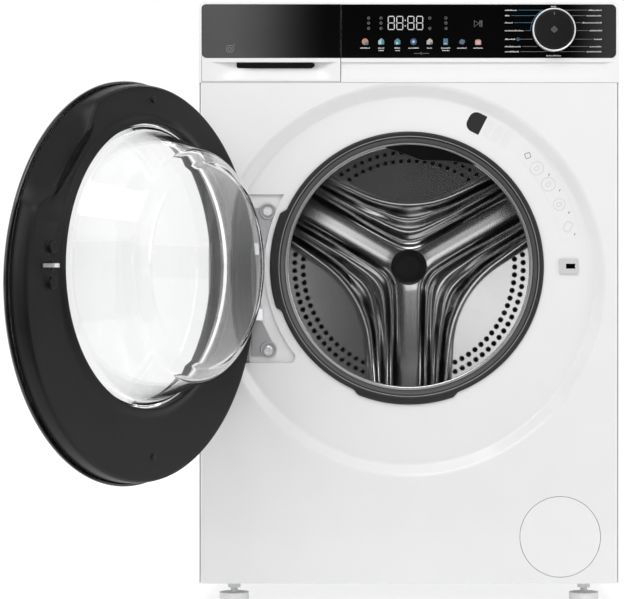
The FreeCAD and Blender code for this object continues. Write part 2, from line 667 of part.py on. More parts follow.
part("drum_spider", fuse(
    rod(MOUTH, "38", ("drum_back + drum_sheet", "drum_back + 20")),
    *[spider_arm(turn) for turn in (90, -30, 210)]))
part("drum_shaft", rod(MOUTH, "shaft_radius", ("drum_back + 20", "pulley_depth")))
pulley = cut(
    rod(MOUTH, "pulley_radius", ("pulley_depth", pulley_back)),
    tube(MOUTH, "pulley_radius - 10", "30", ("pulley_depth - 1", "pulley_depth + 5")),
    tube(MOUTH, "pulley_radius - 10", "30", ("pulley_depth + 10", "pulley_depth + 40")),
    *[rod(around_mouth(80, turn), "26", ("500", "540")) for turn in range(0, 360, 60)])
part("drum_pulley", pulley)

# ---- door ----

cover = cut(
    turned([
        ("0", "cover_depth"), ("232", "cover_depth"), ("256", "cover_depth + 5"),
        ("door_radius - 5", "rim_depth - 5"),
        ("door_radius", "rim_depth"), ("door_radius", "rim_depth + 4"), ("door_radius - 3", "rim_depth + 4"),
        ("door_radius - 4", "rim_depth + 1"), ("254", "cover_depth + 9"), ("230", "cover_depth + 4"),
        ("0", "cover_depth + 4")], DOOR),
    rod(MOUTH, "window_radius + 2", ("-60", "0")))
part("door_outer_ring", opened(cover))
part("door_pane", opened(rod(MOUTH, "window_radius + 12", ("cover_depth + 4.3", "cover_depth + 7.3"))))

liner_back = "rim_depth + 5"
liner_shell = cut(
    rod(DOOR, "liner_radius", (liner_back, "liner_depth")),
    rod(DOOR, "liner_radius - door_wall", (f"{liner_back} - 1", "liner_depth - door_wall")))
inner_wall = rod(MOUTH, "window_radius + 22", (liner_back, "liner_depth - door_wall"))
NOTCHES = [("397", "417"), ("490.5", "510.5")]
liner = cut(
    fuse(liner_shell, inner_wall),
    rod(MOUTH, "window_radius + 19", (f"{liner_back} - 1", "liner_depth - door_wall")),
    rod(MOUTH, "window_radius", ("-60", "10")),
    *[block(("hinge_x - 40", "hinge_x + 22"), (f"{liner_back} + 3", "10"), rows) for rows in NOTCHES],
    block(("latch_x - 12", "latch_x + 10"), ("-60", "10"), ("latch_height - 6", "latch_height + 6")))
part("door_inner_frame", opened(liner))

bowl = turned([
    ("window_radius + 17", "-7"), ("window_radius + 17", "liner_depth - door_wall - 0.5"),
    ("window_radius - 2", "liner_depth - door_wall - 0.5"), ("window_radius - 2", "liner_depth"),
    ("178", "7"), ("152", "82"), ("136", "bowl_depth - 5"), ("0", "bowl_depth"),
    ("0", "bowl_depth - glass"), ("134", "bowl_depth - glass - 5"), ("152 - glass", "80"),
    ("178 - glass", "5"),
    ("window_radius - 9", "-7")], MOUTH)
part("door_glass", opened(bowl))
arm = fuse(
    rod(("hinge_x", "hinge_depth"), "7.5", ("417.5", "490"), "z"),
    block(("hinge_x + 2", "-213"), ("hinge_depth - 3", "hinge_depth + 3"), ("417.5", "490")))
arm = cut(arm, rod(("hinge_x", "hinge_depth"), "4 + running_gap", ("390", "520"), "z"))
part("door_hinge_arm", opened(arm))
BUFFER_ROWS = ("latch_height - 22.5", "latch_height + 22.5")
part("door_buffers", opened(group(*[
    rod(("215", z), "8", ("liner_depth", "liner_depth + 6")) for z in BUFFER_ROWS])))
PLUG_ROWS = ("plug_height - plug_spread", "plug_height + plug_spread")
part("door_plugs", opened(group(*[
    rod(("-8", z), "5", ("liner_depth", "liner_depth + 2")) for z in PLUG_ROWS])))
hook = fuse(
    rod(("latch_x - 1", "-10"), "4", ("latch_height - 5", "latch_height + 5"), "z"),
    block(("latch_x - 3", "latch_x + 2"), ("-10", "liner_depth + 22"),
          ("latch_height - 2.5", "latch_height + 2.5")),
    block(("latch_x + 2", "latch_x + 7"), ("liner_depth + 16", "liner_depth + 22"),
          ("latch_height - 2.5", "latch_height + 2.5")))
part("latch_hook", opened(hook))

# ---- levelling feet ----

FEET = {"foot_front_left": (-1, -1), "foot_front_right": (1, -1),
        "foot_rear_left": (-1, 1), "foot_rear_right": (1, 1)}
for label, (across, back) in FEET.items():
    spot = (f"{across} * foot_x", f"cabinet_depth / 2 + {back} * foot_y")
    part(label, fuse(
        rod(spot, "foot_radius", ("0", "10"), "z"), rod(spot, "stud_radius", ("10", "48"), "z"),
        rod(spot, "9", ("17", "foot_height - 0.3"), "z")))

# ---- check and write ----

doc.recompute()
for thing in doc.Objects:
    if "Invalid" in thing.State or "Error" in thing.State:
        raise SystemExit(f"{thing.Label} failed: {thing.State} {thing.getStatusString()}")
for label, solid in parts.items():
    shape = solid.Shape
    if shape.isNull() or not shape.isValid() or not shape.Solids:
        raise SystemExit(f"{label} has no valid solid")
    shape.exportStep(f"parts/{label}.step")
    print(f"{label}: {len(shape.Solids)} solids, {shape.Volume / 1000:.1f} cm3")
print(f"{len(parts)} sub-parts")
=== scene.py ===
"""Looks of a front-loading washing machine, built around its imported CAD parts.

Places are (x, depth, z) in millimetres in the machine's frame: x from the middle of the cabinet, depth
backwards from its front face, z from the floor. Door pieces are drawn closed, then turned open.
"""
import json
import random
from math import cos, exp, pi, radians, sin, tan

import bmesh
import bpy
from mathutils import Matrix, Vector


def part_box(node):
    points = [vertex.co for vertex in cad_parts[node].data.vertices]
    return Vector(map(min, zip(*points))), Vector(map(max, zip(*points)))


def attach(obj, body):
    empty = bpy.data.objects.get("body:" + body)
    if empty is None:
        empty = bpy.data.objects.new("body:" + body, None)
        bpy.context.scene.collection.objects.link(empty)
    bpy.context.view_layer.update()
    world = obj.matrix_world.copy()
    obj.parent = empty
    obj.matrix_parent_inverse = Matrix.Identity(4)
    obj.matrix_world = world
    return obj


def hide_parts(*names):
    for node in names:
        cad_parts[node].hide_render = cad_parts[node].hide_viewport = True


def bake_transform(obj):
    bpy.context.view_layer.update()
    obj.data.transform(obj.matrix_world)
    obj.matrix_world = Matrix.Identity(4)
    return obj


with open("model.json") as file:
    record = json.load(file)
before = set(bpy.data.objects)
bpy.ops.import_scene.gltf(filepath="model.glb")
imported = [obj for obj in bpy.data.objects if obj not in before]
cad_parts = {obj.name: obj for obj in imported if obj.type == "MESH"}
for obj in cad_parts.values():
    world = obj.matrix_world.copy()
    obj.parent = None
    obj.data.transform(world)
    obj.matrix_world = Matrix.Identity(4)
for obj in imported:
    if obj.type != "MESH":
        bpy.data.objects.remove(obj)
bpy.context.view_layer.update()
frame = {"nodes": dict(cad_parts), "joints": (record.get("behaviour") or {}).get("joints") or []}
NODES = frame["nodes"]
JOINTS = {joint["name"]: joint for joint in frame["joints"]}
MM = 0.001


# ---- places taken from the frame ----

def extent(node):
    """A CAD node's low and high corners as (x, depth, z) in millimetres."""
    low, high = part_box(node)
    return [Vector((p.x, p.y - FRONT, p.z)) / MM for p in (low, high)]


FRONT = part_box("front_panel")[0].y
PIVOT = Vector(JOINTS["door_swing"]["pos_m"])
OPENED = radians(JOINTS["door_swing"]["range_deg"][1])
TO_OPEN = Matrix.Translation(PIVOT) @ Matrix.Rotation(-OPENED, 4, "Z") @ Matrix.Translation(-PIVOT)

MOUTH = (extent("drum_back")[0].z + extent("drum_back")[1].z) / 2
DRUM_BACK = extent("drum_back")[0].y
DOOR = (extent("door_outer_ring")[0].z + extent("door_outer_ring")[1].z) / 2
DOOR_RADIUS = (extent("door_outer_ring")[1].z - extent("door_outer_ring")[0].z) / 2
GLASS_LOW, GLASS_HIGH = extent("fascia_glass")
DRAWER_LOW, DRAWER_HIGH = extent("drawer_front")
FASCIA_LOW, FASCIA_HIGH = extent("fascia")
KNOB_LOW, KNOB_HIGH = extent("programme_knob")
KNOB = ((KNOB_LOW.x + KNOB_HIGH.x) / 2, (KNOB_LOW.z + KNOB_HIGH.z) / 2)
KNOB_RADIUS = (KNOB_HIGH.x - KNOB_LOW.x) / 2
LATCH = (extent("lock_strike_plate")[0].z + extent("lock_strike_plate")[1].z) / 2
STRIKE_X = 226.6
KEY_FIRST, KEY_PITCH = -62.2, 22.88
PLUG_MIDDLE, PLUG_SPREAD = 459, 237.5


# ---- shapes: every shape is (points, faces), with its points in metres ----

def at(x, depth, z):
    return Vector((x * MM, FRONT + depth * MM, z * MM))


def polar(radius, angle):
    """A point of the mouth's plane, as (x, z), from its middle and an angle in degrees."""
    return radius * cos(radians(angle)), MOUTH + radius * sin(radians(angle))


def merge(*shapes):
    points, faces = [], []
    for own_points, own_faces in shapes:
        start = len(points)
        points += own_points
        faces += [tuple(start + i for i in face) for face in own_faces]
    return points, faces


def skin(loops, closed=False):
    """A skin through loops of equal length. Closed joins the last loop to the first."""
    size, rows = len(loops[0]), len(loops)
    points = [point for loop in loops for point in loop]
    faces = []
    for row in range(rows if closed else rows - 1):
        near, far = row * size, (row + 1) % rows * size
        faces += [(near + i, near + (i + 1) % size, far + (i + 1) % size, far + i) for i in range(size)]
    if not closed:
        faces += [tuple(range(size)), tuple(range((rows - 1) * size, rows * size))]
    return points, faces


def revolve(profile, centre, steps=160, closed=True, warp=None):
    """A (radius, depth) profile turned about a line along the depth. A third value is that loop's own z."""
    loops = []
    for radius, depth, *own in profile:
        loop = []
        for i in range(steps):
            angle = 2 * pi * i / steps
            r, d = warp(angle, radius, depth) if warp else (radius, depth)
            loop.append(at(centre[0] + r * cos(angle), d, (own[0] if own else centre[1]) + r * sin(angle)))
        loops.append(loop)
    return skin(loops, closed)


def prism(outline, near, far):
    """An outline of (x, z) points between two depths."""
    return skin([[at(x, depth, z) for x, z in outline] for depth in (near, far)])


def rounded(corners, closed=True, steps=6):
    """The path through (a, b, radius) corners, with each corner rounded off."""
    path = []
    for i, (a, b, radius) in enumerate(corners):
        here = Vector((a, b))
        if not radius or (not closed and i in (0, len(corners) - 1)):
            path.append((a, b))
            continue
        back = (Vector(corners[i - 1][:2]) - here).normalized()
        on = (Vector(corners[(i + 1) % len(corners)][:2]) - here).normalized()
        half = back.angle(on) / 2
        middle = here + (back + on).normalized() * radius / sin(half)
        start = here + back * radius / tan(half) - middle
        sweep = start.angle_signed(here + on * radius / tan(half) - middle)
        path += [tuple(middle + Matrix.Rotation(-sweep * k / steps, 2) @ start) for k in range(steps + 1)]
    return path


def box_outline(left, right, low, high, radius=0.0):
    return rounded([(left, low, radius), (right, low, radius), (right, high, radius), (left, high, radius)])


def circle(radius, count):
    """Points round a circle about zero."""
    return [(radius * cos(2 * pi * k / count), radius * sin(2 * pi * k / count)) for k in range(count)]


def disc_outline(x, z, radius, count=24):
    return [(x + a, z + b) for a, b in circle(radius, count)]


def turned(outline, angle, about):
    """An outline turned counterclockwise about a point."""
    c, s = cos(radians(angle)), sin(radians(angle))
    return [(about[0] + (x - about[0]) * c - (z - about[1]) * s,
             about[1] + (x - about[0]) * s + (z - about[1]) * c) for x, z in outline]


def band(path, width, near, far, closed=False):
    """A flat line of a given width along a path of (x, z) points."""
    sides = ([], [])
    count = len(path)
    for i, (x, z) in enumerate(path):
        before = path[i - 1] if closed or i else path[i]
        after = path[(i + 1) % count] if closed or i < count - 1 else path[i]
        run = Vector((after[0] - before[0], after[1] - before[1])).normalized() * width / 2
        sides[0].append((x - run.y, z + run.x))
        sides[1].append((x + run.y, z - run.x))
    loops = [[at(*sides[0][i][:1], near, sides[0][i][1]), at(sides[1][i][0], near, sides[1][i][1]),
              at(sides[1][i][0], far, sides[1][i][1]), at(sides[0][i][0], far, sides[0][i][1])]
             for i in range(count)]
    return skin(loops, closed)


def tube(path, radius, count):
    """A round bar along points in metres."""
    loops = []
    normal = None
    for i, point in enumerate(path):
        run = (path[min(len(path) - 1, i + 1)] - path[max(0, i - 1)]).normalized()
        if normal is None:
            normal = run.orthogonal().normalized()
        normal = (normal - run * normal.dot(run)).normalized()
        side = run.cross(normal)
        loops.append([point + (normal * a + side * b) * (radius * MM) for a, b in circle(1.0, count)])
    return skin(loops)


def ease(low, high, value):
    """0 below low, 1 above high, and a smooth rise between."""
    t = min(1.0, max(0.0, (value - low) / (high - low)))
    return t * t * (3 - 2 * t)


def window(value, start, rise, fall, end):
    """1 between rise and fall, 0 outside start and end."""
    return ease(start, rise, value) * (1 - ease(fall, end, value))


# ---- objects ----

def placed(name, data):
    """A new object in the scene."""
    made = bpy.data.objects.new(name, data)
    bpy.context.scene.collection.objects.link(made)
    return made


def solid(name, shape):
    """A mesh object from a shape, with its faces turned outwards."""
    mesh = bpy.data.meshes.new(name)
    mesh.from_pydata(shape[0], [], shape[1])
    work = bmesh.new()
    work.from_mesh(mesh)
    bmesh.ops.remove_doubles(work, verts=work.verts, dist=1e-7)
    bmesh.ops.recalc_face_normals(work, faces=work.faces)
    work.to_mesh(mesh)
    work.free()
    return placed(name, mesh)


def bake(thing):
    """Makes the modifiers' result the object's own mesh."""
    bpy.context.view_layer.update()
    evaluated = thing.evaluated_get(bpy.context.evaluated_depsgraph_get())
    mesh = bpy.data.meshes.new_from_object(evaluated)
    thing.modifiers.clear()
    thing.data = mesh


def carve(thing, *shapes):
    """Cuts closed shapes out of an object."""
    cutters = [solid("cutter", shape) for shape in shapes]
    for cutter in cutters:
        step = thing.modifiers.new("cut", "BOOLEAN")
        step.operation = "DIFFERENCE"
        step.solver = "EXACT"
        step.object = cutter
    bake(thing)
    for cutter in cutters:
        bpy.data.objects.remove(cutter)
    return thing


def soften(thing, width, angle=40, segments=3):
    """Rounds an object's sharp edges with a bevel of a width in millimetres."""
    step = thing.modifiers.new("soft_edges", "BEVEL")
    step.width = width * MM
    step.segments = segments
    step.limit_method = "ANGLE"
    step.angle_limit = radians(angle)
    step.harden_normals = True
    return thing


def finish(thing, material, body, slot, stands_for=(), edge=0.0, crease=32, on_door=False):
    """Shading, material and body of a new piece; its slot argument is not used."""
    if on_door:
        thing.data.transform(TO_OPEN)
    thing.data.shade_smooth()
    thing.data.set_sharp_from_angle(angle=radians(crease))
    if edge:
        soften(thing, edge)
    thing.data.materials.clear()
    thing.data.materials.append(material)
    if body:
        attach(thing, body)
    if stands_for:
        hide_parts(*stands_for)
    return thing


def piece(name, shape, *look, **more):
    """A new object from a shape, with everything that finish gives it."""
    return finish(solid(name, shape), *look, **more)


# ---- materials: colour, roughness and relief all vary a little over a surface ----

def node_tools(material):
    tree = material.node_tree

    def add(kind, **inputs):
        node = tree.nodes.new(kind)
        for name, value in inputs.items():
            node.inputs[name.replace("_", " ")].default_value = value
        return node

    def join(near, out, far, into):
        tree.links.new(near.outputs[out], far.inputs[into])

    return tree, add, join


def grey(colour):
    return [colour] * 3 if isinstance(colour, (int, float)) else list(colour)


def shade(name, colour, roughness, metallic=0.0, vary=0.04, patch=18.0, grain=1500.0, relief=0.03,
          spread=0.06, stretch=(1, 1, 1), coat=0.0, painted_reflection=None, **sockets):
    """A surface whose colour drifts in large patches and whose gloss and height drift in fine grain.

    A colour is three values, or one for a grey. painted_reflection is (other colour, start x, end x): the
    colour turns into it from one x to the other, a reflection painted into the colour."""
    material = bpy.data.materials.new(name)
    material.use_nodes = True
    tree, add, join = node_tools(material)
    surface = tree.nodes["Principled BSDF"]
    colour = grey(colour)
    surface.inputs["Metallic"].default_value = metallic
    surface.inputs["Coat Weight"].default_value = coat
    for key, value in sockets.items():
        surface.inputs[key.replace("_", " ")].default_value = value
    place = add("ShaderNodeTexCoord")
    scaled = add("ShaderNodeMapping", Scale=stretch)
    join(place, "Object", scaled, "Vector")

    clouds = add("ShaderNodeTexNoise", Scale=patch, Detail=3.0)
    join(scaled, "Vector", clouds, "Vector")
    drift = tree.nodes.new("ShaderNodeValToRGB")
    drift.color_ramp.elements[0].position = 0.3
    drift.color_ramp.elements[1].position = 0.7
    drift.color_ramp.elements[0].color = [c * (1 - vary) for c in colour] + [1]
    drift.color_ramp.elements[1].color = [min(1.0, c * (1 + vary)) for c in colour] + [1]
    join(clouds, "Fac", drift, "Fac")
    painted, out = drift, "Color"
    # The colour turns into another along x: a reflection painted into the colour.
    if painted_reflection:
        other, start, end = painted_reflection
        apart = add("ShaderNodeSeparateXYZ")
        join(place, "Object", apart, "Vector")
        share = add("ShaderNodeMapRange", From_Min=start * MM, From_Max=end * MM)
        share.interpolation_type = "SMOOTHERSTEP"
        join(apart, "X", share, "Value")
        mix = tree.nodes.new("ShaderNodeMix")
        mix.data_type = "RGBA"
        mix.inputs["B"].default_value = grey(other) + [1]
        join(share, "Result", mix, "Factor")
        join(painted, out, mix, "A")
        painted, out = mix, "Result"
    join(painted, out, surface, "Base Color")

    fine = add("ShaderNodeTexNoise", Scale=grain, Detail=2.0)
    join(scaled, "Vector", fine, "Vector")
    gloss = add("ShaderNodeMapRange", To_Min=max(0.02, roughness - spread), To_Max=roughness + spread)
    join(fine, "Fac", gloss, "Value")
    join(gloss, "Result", surface, "Roughness")
    height = add("ShaderNodeBump", Strength=relief, Distance=0.0002)
    join(fine, "Fac", height, "Height")
    join(height, "Normal", surface, "Normal")
    return material


def clear(name):
    """Clear glass with faint waviness."""
    return shade(name, (0.995, 0.998, 0.998), 0.01, vary=0.003, grain=14.0, relief=0.0, spread=0.004,
                 Transmission_Weight=1.0, IOR=1.46, Specular_IOR_Level=0.18)


WHITE = shade("white_enamel", (0.70, 0.70, 0.705), 0.30, vary=0.008, grain=900, relief=0.02, coat=0.25)
LAMINATE = shade("white_laminate", 0.70, 0.42, vary=0.015, grain=2600, relief=0.12)
PLASTIC = shade("white_plastic", (0.71, 0.71, 0.715), 0.32, vary=0.008, grain=2200, relief=0.04)
GREY = shade("grey_plastic", 0.55, 0.45, grain=2200, relief=0.10)
ZINC = shade("zinc_steel", (0.62, 0.63, 0.64), 0.38, metallic=0.9, vary=0.12, patch=60, grain=700,
             relief=0.05)
HINGE = shade("hinge_steel", (0.42, 0.42, 0.43), 0.40, metallic=0.35, vary=0.06, grain=1600, relief=0.10)
SCREW = shade("screw_steel", (0.74, 0.74, 0.76), 0.28, metallic=0.45, vary=0.04, grain=1200, relief=0.05)
BLACK = shade("black_plastic", (0.004, 0.004, 0.0042), 0.42, vary=0.15, grain=2600, relief=0.10,
              Specular_IOR_Level=0.25)
LINER = shade("door_black", (0.008, 0.008, 0.0083), 0.38, vary=0.10, grain=3000, relief=0.16,
              Specular_IOR_Level=0.16)
COVER = shade("door_cover_black", (0.008, 0.008, 0.0085), 0.14, vary=0.10, grain=900, relief=0.02, coat=0.3)
RUBBER = shade("grey_rubber", (0.019, 0.019, 0.0195), 0.50, vary=0.12, patch=40, grain=2400, relief=0.20,
               Specular_IOR_Level=0.3)
# Two lighter copies of the gasket rubber: a painted highlight line and a painted lit band.
RUBBER_PAINTED_HIGHLIGHT = shade("rubber_painted_highlight", 0.22, 0.40, vary=0.08, grain=2400, relief=0.10)
RUBBER_PAINTED_LIT_BAND = shade("rubber_painted_lit_band", (0.075, 0.075, 0.076), 0.45, vary=0.08, grain=2400, relief=0.10)
STEEL = shade("stainless", (0.66, 0.66, 0.665), 0.17, metallic=1.0, vary=0.02, grain=160, relief=0.0,
              spread=0.012)
LIFTER = shade("lifter_grey", (0.012, 0.012, 0.0125), 0.42, vary=0.10, grain=2400, relief=0.14)
ALLOY = shade("cast_aluminium", (0.50, 0.50, 0.51), 0.48, metallic=0.95, vary=0.10, grain=900, relief=0.35)
MACHINED = shade("machined_steel", (0.60, 0.60, 0.61), 0.24, metallic=1.0, grain=400, relief=0.10,
                 stretch=(1, 1, 9))
IRON = shade("motor_iron", (0.16, 0.16, 0.17), 0.50, metallic=0.6, vary=0.12, grain=700, relief=0.20)
CONCRETE = shade("concrete", (0.46, 0.45, 0.43), 0.85, vary=0.16, patch=90, grain=420, relief=0.9)
FOOT = shade("foot_grey", 0.72, 0.55, vary=0.05, grain=1800, relief=0.25)
KNOB_FACE = shade("knob_black", (0.007, 0.007, 0.0075), 0.32, vary=0.12, grain=1200, relief=0.04,
                  Specular_IOR_Level=0.3)
HUB = shade("hub_dark", (0.045, 0.045, 0.047), 0.38, metallic=0.4, vary=0.12, grain=900, relief=0.06)
# A near black for the insides of holes: painted shade.
HOLE_PAINTED_SHADE = shade("hole_painted_shade", 0.006, 0.7, vary=0.2, grain=900, relief=0.05)
GREY_LIGHT = shade("strike_plastic", 0.50, 0.40, vary=0.03, grain=2200, relief=0.08)
GLASS = clear("door_clear")
PANE = clear("door_pane_clear")
# The black panel glass gets lighter towards its right end: a reflection painted into its colour.
RIGHT_GLASS_PAINTED_REFLECTION = shade("panel_glass", (0.0016, 0.0016, 0.0017), 0.07, vary=0.15, grain=400, relief=0.004,
                     spread=0.02, painted_reflection=((0.030, 0.030, 0.031), 215, 300), Specular_IOR_Level=0.12)
# The left glass is lighter at its left end and darkens towards the middle: a reflection painted into its
# colour.
LEFT_GLASS_PAINTED_REFLECTION = shade("panel_glass_left", (0.075, 0.075, 0.076), 0.07, vary=0.05, grain=400, relief=0.004,
                    spread=0.02, painted_reflection=((0.0020, 0.0020, 0.0021), -280, -105), Specular_IOR_Level=0.12)


def glowing_print(name, colour, strength=0.55):
    """A printed mark that glows with an emission of its own, though nothing lights it from behind: painted
    light.
    """
    return shade(name, colour, 0.45, vary=0.05, Emission_Color=grey(colour) + [1], Emission_Strength=strength)


# The prints glow a little: painted light.
PRINT = glowing_print("white_print", 0.46, 0.18)
PRINT_GREY = glowing_print("grey_print", 0.16, 0.06)
PRINT_BLUE = glowing_print("blue_print", (0.03, 0.13, 0.21), 0.20)
INK = shade("black_ink", (0.015, 0.015, 0.016), 0.40, vary=0.1, grain=2000, relief=0.05)
INK_GREY = shade("grey_ink", 0.36, 0.55, vary=0.08, grain=2000, relief=0.05)
INK_PALE = shade("pale_ink", 0.60, 0.55, vary=0.04, grain=2000, relief=0.05)


# ---- front: control panel and detergent drawer ----

RIM_LOW = 765.0
COVE = [(-2.0, 767.0), (0.0, RIM_LOW), (1.0, RIM_LOW), (0.97, 762.5), (0.84, 757.0), (0.6, 751.0),
        (0.32, 745.5), (0.1, 742.0), (0.0, 740.5), (-2.0, 739.0)]


def cove(columns, depth_at):
    """The cutter of a hollow under the glass: its section grows with the depth given at each x."""
    loops = []
    for x in columns:
        deep = depth_at(x)
        loops.append([at(x, share * deep if share > 0 else share, z) for share, z in COVE])
    return skin(loops)


def steps(low, high, count):
    return [low + (high - low) * i / count for i in range(count + 1)]


def glass_recess(left, right):
    return prism(box_outline(left, right, GLASS_LOW.z - 0.35, GLASS_HIGH.z + 0.35, 7.2), -2, 2.3)


def make_fascia():
    left, right = FASCIA_LOW.x, FASCIA_HIGH.x
    low, high = FASCIA_LOW.z, FASCIA_HIGH.z
    inner = DRAWER_LOW.x - 0.55
    top = DRAWER_HIGH.z + 0.55
    seam = GLASS_LOW.x - 0.2
    outline = rounded([(left, low, 0), (right, low, 0), (right, high, 8.5), (left, high, 8.5)])
    fascia = solid("fascia_shell", prism(outline, FASCIA_LOW.y, FASCIA_HIGH.y))
    opening = rounded([(inner, low + 1.1, 0), (seam, low + 1.1, 0), (seam, top, 0.3), (inner, top, 6.0)])
    carve(fascia, prism(opening, -3, FASCIA_HIGH.y + 3), glass_recess(seam - 20, GLASS_HIGH.x + 0.35),
          cove(steps(seam - 4, right - 9, 40), lambda x: 2.4 * (1 - ease(right - 16, right - 9, x)) + 0.02))
    finish(fascia, PLASTIC, "cabinet", "white_plastic", ["fascia"], edge=0.7)

    glass = rounded([(GLASS_LOW.x, GLASS_LOW.z, 0.3), (GLASS_HIGH.x, GLASS_LOW.z, 7),
                     (GLASS_HIGH.x, GLASS_HIGH.z, 7), (GLASS_LOW.x, GLASS_HIGH.z, 0.3)])
    pane = solid("fascia_glass_pane", prism(glass, GLASS_LOW.y, GLASS_HIGH.y))
    finish(pane, RIGHT_GLASS_PAINTED_REFLECTION, "cabinet", "panel_glass", ["fascia_glass"], edge=0.25)


GRIP = (-245.0, -136.0, 757.0, RIM_LOW)


def make_drawer():
    left, right = DRAWER_LOW.x, DRAWER_HIGH.x
    outline = rounded([(left, DRAWER_LOW.z, 1), (right, DRAWER_LOW.z, 0.4), (right, DRAWER_HIGH.z, 0.4),
                       (left, DRAWER_HIGH.z, 6)])
    front = solid("drawer_face", prism(outline, DRAWER_LOW.y, DRAWER_HIGH.y))

    def scoop(x):
        return 0.02 + 13.5 * ease(left + 6, GRIP[0] + 26, x) * (1 - ease(GRIP[1] - 4, right - 3, x))

    slot = prism(rounded([(GRIP[0], GRIP[2], 3), (GRIP[1] - 2, GRIP[2], 3), (GRIP[1] + 3, GRIP[3] - 3.5, 1.5),
                          (GRIP[1] - 1, GRIP[3] + 0.1, 1.5), (GRIP[0], GRIP[3] + 0.1, 0.5)]), -2, 17.5)
    carve(front, glass_recess(left - 0.35, right + 20), cove(steps(left + 6, right - 3, 72), scoop), slot)
    finish(front, PLASTIC, "drawer", "white_plastic", ["drawer_front"], edge=0.5)
    # A black block fills the back of the grip slot: painted shade for its dark depth.
    grip_shade = prism(rounded([(GRIP[0] + 0.1, GRIP[2] + 0.1, 3), (GRIP[1] - 2, GRIP[2] + 0.1, 3),
                           (GRIP[1] + 2.9, GRIP[3] - 3.5, 1.5), (GRIP[1] - 1, GRIP[3], 1.5),
                           (GRIP[0] + 0.1, GRIP[3], 0.5)]), 9.7, 17.4)
    piece("drawer_grip_shade", grip_shade, BLACK, "drawer", "black_plastic", edge=0.5)

    low, high = extent("drawer_glass")
    glass = rounded([(low.x, low.z, 7), (high.x, low.z, 0.3), (high.x, high.z, 0.3), (low.x, high.z, 7)])
    pane = solid("drawer_glass_pane", prism(glass, low.y, high.y))
    finish(pane, LEFT_GLASS_PAINTED_REFLECTION, "drawer", "panel_glass", ["drawer_glass"], edge=0.25)


# ---- printed marks: generic signs and greeked words, no lettering ----

MARK = (GLASS_LOW.y - 0.06, GLASS_LOW.y)
marks = {"white": [], "grey": [], "blue": []}


def bar(x, z, width, height):
    return prism(box_outline(x, x + width, z - height / 2, z + height / 2), *MARK)


def word(x, z, width, height, draw, right=False):
    """A row of small upright blocks that reads as a printed word from afar."""
    parts = []
    pen = 0.0
    while pen < width - 0.5:
        size = draw.uniform(0.45, 0.95)
        tall = height * draw.choice((0.62, 0.66, 1.0))
        start = x - width + pen if right else x + pen
        parts.append(prism(box_outline(start, start + size, z - height / 2, z - height / 2 + tall), *MARK))
        pen += size + 0.32
    return merge(*parts)


def ring(x, z, radius, width, depths=MARK):
    return band(disc_outline(x, z, radius, 20), width, *depths, closed=True)


def segment(x, z, length, upright):
    """One bar of a digit, with pointed ends."""
    half, thick = length / 2, 0.62
    outline = [(-half, 0), (-half + thick, thick), (half - thick, thick), (half, 0),
               (half - thick, -thick), (-half + thick, -thick)]
    return prism([(x + b, z + a) if upright else (x + a, z + b) for a, b in outline], *MARK)


def digit(x, z):
    """A figure eight of seven bars, 10 mm wide and 20 mm tall, with its lower left corner at x, z."""
    bars = [segment(x + 5, z + level, 8.2, False) for level in (0.7, 10, 19.3)]
    bars += [segment(x + side, z + level, 8.2, True) for side in (0.7, 9.3) for level in (5.3, 14.7)]
    return merge(*bars)


